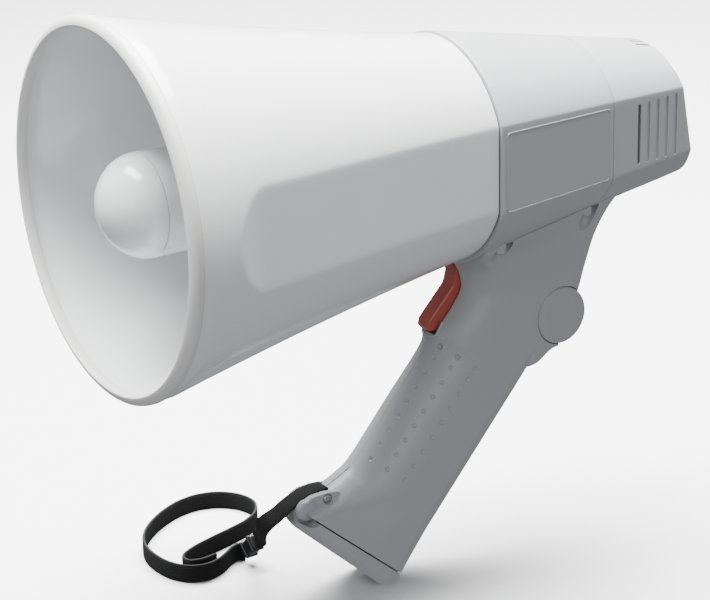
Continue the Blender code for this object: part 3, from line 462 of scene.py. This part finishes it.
def make_band(name, points, wide_at):
    """A flat woven band along a route; wide_at(share of the length) gives the direction of its width."""
    lengths = [0.0]
    for a, b in zip(points, points[1:]):
        lengths.append(lengths[-1] + (b - a).length)
    half_w, half_t = BAND_WIDE / 2 * MM, BAND_THICK / 2 * MM
    bm = bmesh.new()
    layer = bm.loops.layers.uv.new("weave")
    section = [(-1, 0.0), (-0.96, 0.8), (-0.85, 1), (-0.4, 1), (0, 1), (0.4, 1), (0.85, 1), (0.96, 0.8),
               (1, 0), (0.96, -0.8), (0.85, -1), (0.4, -1), (0, -1), (-0.4, -1), (-0.85, -1), (-0.96, -0.8)]
    rows = []
    for i, point in enumerate(points):
        run = (points[min(len(points) - 1, i + 1)] - points[max(0, i - 1)]).normalized()
        wide = wide_at(lengths[i] / lengths[-1])
        wide = (wide - run * wide.dot(run)).normalized()
        over = run.cross(wide)
        rows.append([bm.verts.new(point + wide * u * half_w + over * v * half_t) for u, v in section])
    count = len(section)
    for i, (a, b) in enumerate(zip(rows, rows[1:])):
        for k in range(count):
            j = (k + 1) % count
            face = bm.faces.new((a[k], a[j], b[j], b[k]))
            for loop, (row, spot) in zip(face.loops, ((i, k), (i, j), (i + 1, j), (i + 1, k))):
                loop[layer].uv = (lengths[row], section[spot][0] * half_w)
    bm.faces.new(reversed(rows[0]))
    bm.faces.new(rows[-1])
    return mesh_object(name, bm, 50), lengths[-1]


def make_strap():
    top, end = horn(*SLIDER_TOP), horn(*SLIDER_END)
    along = (end - top).normalized()
    across = UP.cross(along).normalized()
    standing = along.cross(across)
    bm = bmesh.new()
    outline = rounded([(-0.5, -3.8), (-0.5, 3.8), (12.1, 3.8), (12.1, -3.8)], 1.6)
    add_plate(bm, outline, ((1.1, -2.9), (0.3, -2.4), (0, -1.7), (0, 1.7), (0.3, 2.4), (1.1, 2.9)),
              lambda u, v, y: top + along * u * MM + standing * v * MM + across * y * MM)
    for u in (2.2, 9.4):
        add_plate(bm, rounded([(u - 0.9, -4.2), (u - 0.9, 4.2), (u + 0.9, 4.2), (u + 0.9, -4.2)], 0.8),
                  ((0.5, -3.3), (0, -2.8), (0, 2.8), (0.5, 3.3)),
                  lambda u, v, y: top + along * u * MM + standing * v * MM + across * y * MM)
    slider = finish(mesh_object("slider", bm), "black_plastic", "casing", "strap_slider")

    route = [grip(*p) for p in NECK_FROM_PIN] + [horn(*p) for p in NECK_TO_SLIDER]
    points = [Vector(p) for p in spline([tuple(p) for p in route], 5)]

    def neck_width(share):
        turn = smooth_step(0.0, 0.88, share)
        return (SIDE * (1 - turn) + standing * turn).normalized()

    neck, length = make_band("neck_band", points, neck_width)
    finish(neck, "webbing", "casing", "strap_neck", sharp=50)
    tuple(points[0])
    loop_points = [Vector(p) for p in spline([tuple(horn(x, y, STRAP_MID)) for x, y in LOOP_ROUTE], 5)]
    loop, length = make_band("loop_band", loop_points, lambda share: UP)
    finish(loop, "webbing", "casing", "strap_loop", sharp=50)
    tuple(loop_points[0])


# ---------------------------------------------------------------- horn, reflector, housing and cap

def horn_radius(x):
    """The horn's flare, before its sides are trimmed flat."""
    u = JOINT_X - x
    return 50.3 + 0.148 * u + 0.00024 * u * u


def body_radius(x):
    return 51.6 - BODY_TAPER * (x - JOINT_X)


def soft_min(a, b, soft):
    """The smaller of two values, blended over about the width soft where they meet."""
    gap = max(-40.0, min(40.0, (a - b) / soft))
    return b - soft * math.log(1 + math.exp(-gap)) if gap > 0 else a - soft * math.log(1 + math.exp(gap))


def horn_ring(x, radius, depth, soft):
    """One ring of the horn, each side trimmed by a plane, with softened creases."""
    reach = radius - depth
    corner = math.acos(max(-1.0, min(1.0, reach / radius))) if depth > 0 else math.radians(4)
    angles = steps(corner, math.pi - corner, 46) + steps(math.pi - corner, math.pi + corner, 16)
    angles += steps(math.pi + corner, 2 * math.pi - corner, 46) + steps(-corner, corner, 16)
    ring = []
    for t in angles:
        y, z = radius * math.cos(t), radius * math.sin(t)
        ring.append(horn(x, math.copysign(soft_min(abs(y), reach, soft), y), z))
    return ring


def flat_reach(x):
    """How far inside the horn's radius its side planes lie; negative in front of them."""
    full = 3.2 + 0.45 * smooth_step(30, JOINT_X, x)
    return full - (full + 2.2) * (1 - smooth_step(10, 36, x))


def make_bell():
    stations = [3.2, 3.4, 4.2, 6, 8, 10, 12] + [14 + 1.2 * i for i in range(22)] + \
        [42 + 6.0 * i for i in range(20)] + [161.0, 162.6, 163.5, 163.9]
    outer, inner = [], []
    for x in stations:
        r = soft_min(79.3, horn_radius(x), 0.15)
        edge = 0.35 if x in (stations[0], stations[-1]) else 0.0
        outer.append(horn_ring(x, r - edge, flat_reach(x), 0.22))
        inner.append(horn_ring(min(x, 161.3), min(horn_radius(x), 79.3) - SHELL, flat_reach(x), 0.6))
    for rings, x in ((outer, 163.9), (inner, 161.3)):
        rings.append([horn(x, THROAT_R * math.cos(t), THROAT_R * math.sin(t)) for t in ring_angles(rings[-1])])
    bm = bmesh.new()
    add_pipe(bm, outer, inner)
    finish(mesh_object("bell_shell", bm, 24), "horn_white", "casing", "horn_bell")
    bead = [(3.0, 76.4), (2.9, 75.9), (2.0, 75.6), (-1.2, 75.6), (-1.75, 75.75), (-2.0, 76.2), (-1.9, 76.9),
            (-1.3, 78.3), (-0.5, 79.3), (0.3, 79.85), (1.0, 80.0), (2.3, 80.0), (2.8, 79.85), (3.0, 79.5),
            (3.0, 78.8)]
    finish(turned("rim_bead", bead, horn(0), sides=180), "rim_white", "casing", "horn_rim_guard")


def ring_angles(ring):
    """Where each point of a ring stands round the horn's axis."""
    axis = AXIS_HEIGHT * MM
    return [math.atan2(p.z - axis, p.y) for p in ring]


def make_reflector():
    base, depth, r = 19.0, 19.6, 22.0
    turn = [math.radians(90 * i / 24) for i in range(25)]
    front = [(base - depth * math.cos(t), r * math.sin(t)) for t in turn]
    back = [(base - (depth - 2) * math.cos(t), (r - 2.4) * math.sin(t)) for t in reversed(turn)]
    dome = front[:-1] + [(base - 0.25, r - 0.02), (base, r - 0.25), (base, r - 2.4)] + back[1:]
    finish(turned("dome_shell", dome, horn(0)), "horn_white", "casing", "reflector_dome")
    skirt = [(base + 0.3, r - 0.25), (base + 0.55, r), (91.6, r - 0.8), (92, r - 1.2), (92, r - 2.4),
             (91.6, r - 2.8), (base + 0.3, r - 2.0)]
    finish(turned("skirt_shell", skirt, horn(0)), "horn_white", "casing", "reflector_skirt")


def body_ring(x, inset=0.0, slant=0.0, soft=0.12):
    """A ring of the housing or cap: crisp side flats, a fuller underside, and a rear that may lean back."""
    low_edge = 0.4 + 0.6 * smooth_step(JOINT_X, SEAM_X, x)
    belly = 0.8 + 0.6 * smooth_step(JOINT_X, 240, x) + 1.4 * smooth_step(236, BACK_X, x)
    ring = []
    radius = body_radius(x) - inset
    top = math.acos((radius - FLAT_DEPTH) / radius)
    low = math.acos((radius - FLAT_DEPTH) / (radius + low_edge))
    angles = steps(top, math.pi - top, 56) + steps(math.pi - top, math.pi + low, 14)
    angles += steps(math.pi + low, 2 * math.pi - low, 56) + steps(2 * math.pi - low, 2 * math.pi + top, 14)
    for t in angles:
        full = radius
        if math.sin(t) < 0:
            drop = min(math.degrees(t) % 360 - 180, 360 - math.degrees(t) % 360)
            full = radius + low_edge * smooth_step(0, math.degrees(low), drop) \
                + (belly - low_edge) * smooth_step(30, 60, drop)
        z = full * math.sin(t)
        shift = -slant * z
        shrink = (radius - BODY_TAPER * shift) / radius
        reach = radius - BODY_TAPER * shift - FLAT_DEPTH
        y = full * math.cos(t) * shrink
        ring.append(horn(x + shift, math.copysign(soft_min(abs(y), reach, soft), y), z * shrink))
    return ring


def saddle_z(x):
    """Height of the seat, which rises to the rear."""
    return -41.3 + 0.134 * (x - SADDLE_FRONT)


def cut_saddle(piece):
    """Take away what lies under the seat of the grip."""
    bm = bmesh.new()
    front, back = SADDLE_FRONT - 0.2, SADDLE_BACK + 0.2
    outline = [(front, saddle_z(front) - SADDLE_LAP), (back, saddle_z(back) - SADDLE_LAP),
               (back, -70), (front, -70)]
    add_loft(bm, [[horn(x, y, z) for x, z in outline] for y in (-60, 60)])
    combine(piece, bm)


def add_floor(piece, start, end):
    """Close the shell above the seat with a 3 mm floor."""
    bm = bmesh.new()
    rings = []
    for x in (start, end):
        low = saddle_z(x) - SADDLE_LAP
        r = body_radius(x) - SHELL / 2 + 1.2
        rings.append([horn(x, -math.sqrt(r * r - low * low), low), horn(x, math.sqrt(r * r - low * low), low),
                      horn(x, math.sqrt(r * r - (low + 3) ** 2), low + 3),
                      horn(x, -math.sqrt(r * r - (low + 3) ** 2), low + 3)])
    add_loft(bm, rings)
    combine(piece, bm, "UNION")


def make_housing():
    stations = [(JOINT_X + 0.35, 0.55), (JOINT_X + 0.45, 0.25), (JOINT_X + 0.8, 0.05), (JOINT_X + 1.4, 0)]
    stations += [(170 + 8 * i, 0) for i in range(8)]
    stations += [(SEAM_X - 0.7, 0), (SEAM_X - 0.25, 0.08), (SEAM_X - 0.1, 0.3)]
    bm = bmesh.new()
    add_pipe(bm, [body_ring(x, inset) for x, inset in stations], [body_ring(x, SHELL) for x, _ in stations])
    housing = mesh_object("housing_shell", bm)
    add_floor(housing, JOINT_X + 1.6, SEAM_X - 0.4)
    cut_saddle(housing)
    finish(housing, "body_grey", "casing", "amplifier_housing")


def stadium(x, z, wide, tall):
    """A round-ended slot's outline, upright."""
    r = wide / 2
    turn = [math.radians(22.5 * i) for i in range(9)]
    return [(x + r * math.cos(t), z + tall / 2 - r + r * math.sin(t)) for t in turn] + \
        [(x - r * math.cos(t), z - tall / 2 + r - r * math.sin(t)) for t in turn]


def make_cap():
    edge = [(BACK_X - 3.4, 0.0), (BACK_X - 1.7, 0.05), (BACK_X - 1.0, 0.22), (BACK_X - 0.4, 0.65),
            (BACK_X - 0.1, 1.2), (BACK_X + 0.05, 2.2)]
    outer = [body_ring(SEAM_X + 0.1, 0.3), body_ring(SEAM_X + 0.25, 0.08), body_ring(SEAM_X + 0.7)]
    outer += [body_ring(x) for x in (240, 246, 252)]
    outer += [body_ring(x, 0, BACK_SLANT * (x - 252) / 29) for x in (256, 260, 264, 268, 272, 276, 279)]
    outer += [body_ring(x, inset, BACK_SLANT) for x, inset in edge]
    shrinks = ((0.9, 0.25), (0.7, 0.6), (0.4, 0.85), (0.1, 0.95))
    dome = [shrink_ring(outer[-1], scale, lift) for scale, lift in shrinks]
    inner = [body_ring(SEAM_X + 0.1, SHELL), body_ring(252, SHELL), body_ring(266, SHELL, 0.1),
             body_ring(BACK_X - 2.6, SHELL, BACK_SLANT)]
    bm = bmesh.new()
    rows = [add_ring(bm, ring) for ring in reversed(outer + dome)] + [add_ring(bm, ring) for ring in inner]
    for a, b in zip(rows, rows[1:]):
        bridge(bm, a, b)
    bm.faces.new(rows[0])
    bm.faces.new(rows[-1])
    cap = mesh_object("cap_shell", bm)
    add_floor(cap, SEAM_X + 0.4, SADDLE_BACK + 2.4)
    bm = bmesh.new()
    arc = [math.radians(a) for a in range(-50, 51, 5)]
    wall = []
    for x in (SADDLE_BACK + 0.1, SADDLE_BACK + 2.8):
        r = body_radius(x) - SHELL / 2 + 1.2
        wall.append([horn(x, r * math.sin(t), -r * math.cos(t)) for t in arc])
    add_loft(bm, wall)
    combine(cap, bm, "UNION")
    cut_saddle(cap)
    bm = bmesh.new()
    vent_x, vent_pitch, open_depth, blind_depth = 251.2, 6.15, 5.0, 0.75
    for i in range(5):
        x = vent_x + vent_pitch * i
        flat = body_radius(x) - FLAT_DEPTH
        deep = open_depth if i == 0 else blind_depth
        for side in (-1, 1):
            outline = stadium(x, -1.5, 1.9, 28 + 0.2 * i)
            outline = outline if side > 0 else outline[::-1]
            add_loft(bm, [[horn(u, side * (flat + off), v) for u, v in outline] for off in (2.0, -deep)])
    crown_x, crown_pitch, rear_pitch, rear_reach = 272.5, 4.2, 4.6, 13.5
    for k in range(-2, 3):
        mid = k * crown_pitch
        outline = stadium(crown_x, mid, 1.4, 8.5)
        turned_slot = [(crown_x + (v - mid), mid + (u - crown_x)) for u, v in outline]
        add_loft(bm, [[horn(x, y, h) for x, y in turned_slot] for h in (24, 42)])
        high = k * rear_pitch
        outline = stadium(0, 0, 1.5, 2 * math.sqrt(rear_reach**2 - high**2))
        back = BACK_X - BACK_SLANT * high
        add_loft(bm, [[horn(back + d, v, high + u) for u, v in outline] for d in (-6, 6)])
    combine(cap, bm)
    finish(cap, "body_grey", "casing", "rear_cap")


def shrink_ring(ring, scale, lift):
    """A smaller copy of a ring, moved rearwards."""
    centre = sum(ring, Vector()) / len(ring)
    return [centre + (p - centre) * scale + BACK * lift * MM for p in ring]


def make_label():
    corners = [(167.4, -19.6), (231.8, -18.6), (231.8, 14.3), (167.4, 16.0)]
    outline = rounded(corners, 2.2)
    bm = bmesh.new()
    add_plate(bm, outline, ((0, 0.02), (0, 0.30), (0.12, 0.42), (0.55, 0.42), (0.7, 0.30)),
              lambda x, z, y: horn(x, -(body_radius(x) - FLAT_DEPTH) - y, z))
    finish(mesh_object("label_plate", bm, 20), "label_grey", "casing", "rating_plate")


# ---------------------------------------------------------------- hand grip

# (n, s) of the nose, (n, s) of the rear, length of the nose's curve, half widths at the nose, the middle and
# the rear, and the rounding of the rear edges, from the seat down to the cover
STATIONS = [
    (*from_horn(SADDLE_FRONT, -41.6), *from_horn(SADDLE_BACK, saddle_z(SADDLE_BACK) - 0.3),
     1.5, 30.9, 27.8, 23.9, 4),
    (*from_horn(SADDLE_FRONT, -45.0), *from_horn(250.0, -35.5), 2.5, 28.2, 25.0, 20.6, 6.0),
    (*from_horn(167.2, -50.5), *from_horn(247.3, -43.5), 7.0, 22.6, 21.0, 18.4, 8.0),
    (*from_horn(170.8, -57.0), *from_horn(243.6, -53.0), 13.0, 18.6, 18.4, 17.4, 9.0),
    (*from_horn(172.2, -65.5), *from_horn(239.5, -66.0), 18.0, 17.2, 17.1, 17.0, 9.5),
    (*from_horn(167.6, -73.2), *from_horn(234.5, -80.0), 20.0, 17.0, 17.0, 17.0, 9.5),
    (*from_horn(161.4, -80.2), *from_horn(224.0, -93.0), 21.0, 17.0, 17.0, 17.0, 9.5),
    (-27.6, -33.6, 25.0, -50.0, 22.0, 17.0, 17.0, 17.0, 9.2),
    (-24.0, -27.0, 25.0, -34.0, 22.0, 17.0, 17.0, 17.0, 9.2),
    (-24.0, 0.0, 25.0, 0.0, 22.0, 17.0, 17.0, 17.0, 9.2),
    (-24.0, 32.0, 25.0, 32.0, 22.0, 17.0, 17.0, 17.0, 9.2),
    (-26.4, 42.0, 25.0, 42.0, 17.0, 15.2, 17.0, 17.0, 9.2),
    (-30.8, 51.0, 25.4, 51.0, 12.0, 13.0, 17.0, 17.0, 9.2),
    (-35.6, 58.5, 25.8, 58.5, 8.0, 12.5, 17.0, 17.0, 9.2),
    (-39.0, COVER_S - 0.3, 26.2, COVER_S - 0.3, 4.0, 12.4, 17.0, 17.0, 9.2),
]


def half_outline(station, inset=0.0):
    """(distance from the front, half width) of one station, from nose to rear."""
    nf, sf, nr, sr, nose, wide, mid, rear, round_off = station
    depth = math.hypot(nr - nf, sr - sf)
    flat_end = depth - round_off
    turn = [math.radians(90 * i / 18) for i in range(18)]
    points = [(nose * (1 - math.cos(t)), wide * math.sin(t)) for t in turn]
    sides = [(nose, wide), (nose + (flat_end - nose) * 0.5, mid), (flat_end, rear)]
    points += spline(sides, 6)[:-1]
    for t in (math.radians(90 * i / 10) for i in range(11)):
        points.append((flat_end + round_off * math.sin(t) ** 1.35,
                       rear - 0.85 * round_off * (1 - math.cos(t) ** 1.35)))
    half_back = points[-1][1]
    points += [(depth, half_back * f) for f in (0.66, 0.33, 0.0)]
    return [(inset + along * (depth - 2 * inset) / depth, max(0.0, half - inset)) for along, half in points]


def grip_rings(side, inset, seam):
    """One half of the grip as rings from the seat down, kept seam mm clear of the mid-plane."""
    rings = []
    for station in spline(STATIONS, 6):
        front = Vector(station[:2])
        run = Vector((station[2] - station[0], station[3] - station[1])).normalized()
        rings.append([grip(*(front + run * along), side * max(half, seam))
                      for along, half in half_outline(station, inset)])
    return rings


def make_grip_half(name, side, *nodes):
    """A hollow half of the grip, solid where parts are seated in it."""
    bm = bmesh.new()
    add_loft(bm, grip_rings(side, 0.0, 0.06))
    half = mesh_object(name, bm)
    bm = bmesh.new()
    rings = grip_rings(side, 2.4, 2.4)[3:-4]
    add_loft(bm, rings)
    core = mesh_object("core", bm)
    for keep in grip_solids(side):
        combine(core, keep)
    bm = bmesh.new()
    bm.from_mesh(core.data)
    bpy.data.objects.remove(core)
    combine(half, bm)
    for shape in grip_additions(side):
        combine(half, shape, "UNION")
    for tool in grip_cuts(side):
        combine(half, tool)
    finish(half, "body_grey", "casing", *nodes)


def grip_solids(side):
    """What stays solid inside the shell: round the screws, dial, trigger slot and hinge lugs."""
    for x, y in SADDLE_SCREWS:
        bm = bmesh.new()
        add_rod(bm, horn(x + 0.8, side * y, saddle_z(x) - 16), horn(x + 0.8, side * y, saddle_z(x) + 8), 7.4)
        yield bm
    bm = bmesh.new()
    add_rod(bm, grip(*DIAL, -20), grip(*DIAL, 20), DIAL_R + 2.6, 64)
    yield bm
    bm = bmesh.new()
    add_block(bm, horn(172, 0, -70), (40, 13.4, 44))
    yield bm
    bm = bmesh.new()
    add_block(bm, grip(-42, 60), (24, 40, 40), along=REARWARD, up=-DOWNGRIP)
    yield bm


def grip_additions(side):
    """The hinge ear with its rounded lug, smaller on the +y side, and the collar under the dial."""
    ear = rounded([(-22.0, 47.0), (-29.0, 48.6, 5), (-34.4, 52.4, 6), (-39.2, 57.0, 7), (-41.4, 62.0, 4),
                   (-37.0, 66.4), (-30.0, 65.4), (-22.0, 62.0)], 0.6)
    ear_reach, lug, reach = (7.9, 4.9, 8.5) if side < 0 else (6.5, 3.6, 7.0)
    bm = bmesh.new()
    add_softened(bm, ear, side, 5.0, ear_reach, 1.0)
    yield bm
    bm = bmesh.new()
    profile = [(5.0, 0), (5.0, lug), (reach - 1.6, lug), (reach - 0.8, lug - 0.2), (reach - 0.3, lug - 0.6),
               (reach - 0.05, lug - 1.3), (reach, lug - 2.2), (reach, 0)]
    add_turned(bm, profile, grip(*LUG), SIDE * side, 64)
    yield bm
    collar = rounded([(12.0, -62.0), (20.0, -44.0, 4), (23.6, -48.5, 6), (25.0, -53.0, 8), (26.0, -57.0, 8),
                      (27.9, -60.8, 6), (30.4, -63.2), (20.6, -68.0)], 1.0)
    bm = bmesh.new()
    add_softened(bm, collar, side, 3.6, 16.9, 3.4)
    yield bm


def add_softened(bm, outline, side, low, high, soft):
    """A plate with its outer edge rounded over."""
    centre = sum((Vector(p) for p in outline), Vector((0, 0))) / len(outline)
    size = max((Vector(p) - centre).length for p in outline)
    rings = [[grip(n, s, side * low) for n, s in outline]]
    for angle in range(0, 91, 15):
        t = math.radians(angle)
        shrink = 1 - soft * (1 - math.cos(t)) / size
        y = side * (high - soft * (1 - math.sin(t)))
        rings.append([grip(*(centre + (Vector(p) - centre) * shrink), y) for p in outline])
    add_loft(bm, rings)


def grip_cuts(side):
    """Trigger and strap slots, dial recess, screw scoops, bores and the finger dimples."""
    outline = rounded([(160, -52.4), (168, -52.2), (186, -52.2), (186, -67), (177.4, -77.6), (167.0, -88.2, 2.6),
                       (159.6, -86.2), (150, -81)], 1.0)
    bm = bmesh.new()
    add_loft(bm, [[horn(x, y, z) for x, z in outline] for y in (-SLOT_HALF, SLOT_HALF)])
    yield bm
    bm = bmesh.new()
    slot = [(-50, 47.6), (-30.5, 47.6), (-30.5, 75), (-50, 75)]
    add_loft(bm, [[grip(n, s, y) for n, s in slot] for y in (-SLOT_HALF, SLOT_HALF)])
    yield bm
    bm = bmesh.new()
    add_block(bm, grip(-28.0, 42.5, 0), (9.0, 0.62, 12.4), along=REARWARD, up=-DOWNGRIP)
    yield bm
    bm = bmesh.new()
    add_rod(bm, grip(*DIAL, side * 3.4), grip(*DIAL, side * 20), DIAL_R + 0.35, 96)
    yield bm
    scoop = [(-14.0, 0), (-14.0, 1.8), (-12.5, 3.1), (-9.5, 4.3), (-3, 5.2), (-0.45, 5.5), (-0.45, 0)]
    for x, y in SADDLE_SCREWS:
        bm = bmesh.new()
        add_turned(bm, scoop, horn(x + 0.8, side * y, saddle_z(x)), UP, 48)
        yield bm
    bm = bmesh.new()
    add_rod(bm, grip(*HINGE, side * 2), grip(*HINGE, side * 6.2), 1.6, 24)
    yield bm
    bm = bmesh.new()
    open_bore = [(2, 0), (2, 1.5), (6.9, 1.5), (6.9, 2.1), (8.0, 2.3), (12.8, 2.6), (12.8, 0)]
    blind_bore = [(2, 0), (2, 1.4), (6.0, 1.4), (6.0, 0)]
    add_turned(bm, open_bore if side < 0 else blind_bore, grip(*STRAP_PIN), SIDE * side, 32)
    yield bm
    bm = bmesh.new()
    front, long, wide = -24, 22, 17
    for i in range(9):
        s = -30.6 + (5.6 if i else 0.0) + 7.65 * max(0, i - 1)
        for turn in (23.5, 51.0, 78.0):
            t = math.radians(turn)
            place = grip(front + long * (1 - math.cos(t)), s, side * wide * math.sin(t))
            out = (REARWARD * -math.cos(t) * wide + SIDE * side * math.sin(t) * long).normalized()
            ball = bmesh.ops.create_icosphere(bm, subdivisions=3, radius=1.55 * MM)
            bmesh.ops.translate(bm, verts=ball["verts"], vec=place + out * 0.9 * MM)
    yield bm


def make_trigger():
    outline = rounded([(170.9, -55.4, 2), (169.9, -60.0, 4), (168.8, -64.4, 5), (155.6, -78.6, 2.2),
                       (154.7, -81.6, 1.8), (156.4, -84.0, 1.8), (160.9, -84.2, 2.6), (167.0, -77.8, 8),
                       (177.0, -67.0, 6), (182.4, -60.6, 3), (182.4, -55.2, 2), (178.6, -53.4, 2),
                       (173.5, -53.4, 1.5)], 3, 6)
    bm = bmesh.new()
    add_loft(bm, [[horn(x, y, z) for x, z in outline] for y in (-4.4, 4.4)])
    trigger = mesh_object("trigger_lever", bm)
    soften = trigger.modifiers.new("soften", "BEVEL")
    soften.width = 2.4 * MM
    soften.segments = 6
    soften.limit_method = "ANGLE"
    soften.angle_limit = math.radians(60)
    finish(trigger, "trigger_red", "trigger", "talk_trigger", sharp=50)
    bead = [horn(x, y, z) for x, y, z in ((162.3, -5.6, -80.0), (160.4, -5.7, -83.0), (159.2, -5.2, -85.4),
                                          (158.2, -3.6, -86.7), (157.8, 0.0, -87.0), (158.2, 3.6, -86.7),
                                          (159.2, 5.2, -85.4), (160.4, 5.7, -83.0), (162.3, 5.6, -80.0))]
    bm = bmesh.new()
    add_tube(bm, [Vector(p) for p in spline([tuple(p) for p in bead], 6)], 0.75)
    finish(mesh_object("trigger_bezel", bm), "body_grey", "casing")


def add_tube(bm, points, radius, sides=12):
    """A round bead along a route."""
    rings = []
    for i, point in enumerate(points):
        run = (points[min(len(points) - 1, i + 1)] - points[max(0, i - 1)]).normalized()
        across = run.cross(SIDE if abs(run.y) < 0.8 else UP).normalized()
        over = run.cross(across)
        rings.append([point + (across * math.cos(a) + over * math.sin(a)) * radius * MM
                      for a in (2 * math.pi * k / sides for k in range(sides))])
    add_loft(bm, rings)


def make_dial():
    centre = grip(*DIAL)
    wheel = [(4.2, 2.6), (4.2, DIAL_R), (15.8, DIAL_R), (16.6, DIAL_R - 0.12), (16.95, DIAL_R - 0.45),
             (17.1, DIAL_R - 0.9), (17.1, DIAL_R - 4), (17.0, 5), (17.0, 0)]
    profile = [(-a, r) for a, r in reversed(wheel)] + wheel
    bm = bmesh.new()
    add_turned(bm, profile, centre, SIDE, 128)
    dial = mesh_object("dial_wheel", bm)
    bm = bmesh.new()
    for k in range(24):
        t = math.radians(15 * k)
        out = REARWARD * math.cos(t) + DOWNGRIP * math.sin(t)
        place = centre + out * (DIAL_R + 0.25) * MM
        add_rod(bm, place - SIDE * 15.4 * MM, place + SIDE * 15.4 * MM, 0.6, 12)
    combine(dial, bm)
    finish(dial, "body_grey", "dial", "volume_dial")


# n of the nose, how far below COVER_S the front and the rear lie, and how far the outline is drawn in
COVER_RINGS = ((-39.0, 0.3, 0.3, 0.0), (-38.7, 2.2, 3.0, 0.0), (-38.1, 3.8, 4.8, 0.1), (-37.4, 4.7, 5.9, 0.45),
               (-36.2, 5.5, 6.8, 1.2), (-33.4, 6.6, 8.2, 2.8), (-31.4, 7.2, 8.9, 3.8), (-29.6, 7.5, 9.2, 4.6))


def make_cover():
    bm = bmesh.new()
    rings = []
    for front, low_front, low_rear, inset in COVER_RINGS:
        station = (front, COVER_S + low_front, 26.2 - inset, COVER_S + low_rear, 4, 12.4, 17, 17, 9.2)
        points = [(a, max(h - inset, 0.0)) for a, h in half_outline(station)]
        run = Vector((station[2] - station[0], station[3] - station[1])).normalized()
        rings.append([grip(front + run.x * a, station[1] + run.y * a, side * h)
                      for side, row in ((1, points), (-1, points[-2:0:-1])) for a, h in row])
    add_loft(bm, rings)
    cover = mesh_object("cover_shell", bm)
    bm = bmesh.new()
    for side in (-1, 1):
        add_rod(bm, grip(*LUG, side * 4.7), grip(*LUG, side * 20), 6.3, 48)
    combine(cover, bm)
    bm = bmesh.new()
    add_rod(bm, grip(*HINGE, -4.5), grip(*HINGE, 4.5), 3.4, 48)
    combine(cover, bm, "UNION")
    bm = bmesh.new()
    add_block(bm, grip(17.6, COVER_S + 0.15), (12.4, 22.0, 2.1), along=REARWARD, up=-DOWNGRIP)
    combine(cover, bm, "UNION")
    bm = bmesh.new()
    add_rod(bm, grip(*HINGE, -16), grip(*HINGE, 16), 1.8, 24)
    combine(cover, bm)
    bm = bmesh.new()
    add_block(bm, grip(20.6, COVER_S + 7.4), (6.0, 12.4, 6.0), along=REARWARD, up=-DOWNGRIP)
    combine(cover, bm)
    finish(cover, "body_grey", "cover", "battery_cover")


def make_fasteners():
    """Pan heads with a cross recess, seen in their scoops, and the strap pin's riveted head."""
    number = 0
    for x, y in SADDLE_SCREWS:
        for side in (-1, 1):
            number += 1
            place = horn(x, side * y, saddle_z(x) - 6.2)
            profile = [(0.1, 0), (0.1, 1.2), (0.25, 2.0), (0.7, 2.6), (1.2, 2.8), (2.2, 2.8), (2.4, 2.9),
                       (5.6, 2.9), (5.6, 1.5), (12, 1.5), (14, 0.6), (14, 0)]
            screw = turned(f"saddle_screw_head_{number}", profile, place, UP, 40)
            for turn in (0.4, 0.4 + math.pi / 2):
                bm = bmesh.new()
                along = Vector((math.cos(turn), math.sin(turn), 0))
                add_block(bm, place, (3.4, 0.75, 2.0), along=along)
                combine(screw, bm)
            finish(screw, "steel", "casing", f"saddle_screw_{number}")
    pin = [(-8.1, 0), (-8.1, 0.45), (-7.6, 0.6), (-7.6, 0.95), (-8.2, 1.1), (-8.1, 1.6), (-7.7, 1.85),
           (-7.1, 1.85), (-7.1, 1.2), (5.9, 1.2), (5.9, 0)]
    finish(turned("strap_pin_rivet", pin, grip(*STRAP_PIN), SIDE, 40), "steel", "casing", "strap_pin")
    bm = bmesh.new()
    add_rod(bm, grip(*HINGE, -6.0), grip(*HINGE, 6.0), 1.5, 24)
    finish(mesh_object("hinge_rod", bm), "steel", "casing", "battery_cover_pin")


# ---------------------------------------------------------------- assembly

make_camera()
make_stage()
make_strap()
make_bell()
make_reflector()
make_housing()
make_cap()
make_label()
make_grip_half("grip_left_shell", -1, "grip_shell_left")
make_grip_half("grip_right_shell", 1, "grip_shell_right")
make_trigger()
make_dial()
make_cover()
make_fasteners()

SLOT_OF = {node: entry["slot"] for entry in frame["record"].get("materials", [])
           for node in entry.get("nodes", [])}
for node_name, node in frame["nodes"].items():
    if node.hide_render:
        continue
    slot_name = SLOT_OF.get(node_name)
    if slot_name is None and node.data.materials and node.data.materials[0]:
        slot_name = node.data.materials[0].name.split(".")[0]
    if slot_name not in FINISHES:
        slot_name = "black_plastic"
    for index in range(len(node.data.materials)):
        node.data.materials[index] = FINISHES[slot_name]
    if not len(node.data.materials):
        node.data.materials.append(FINISHES[slot_name])
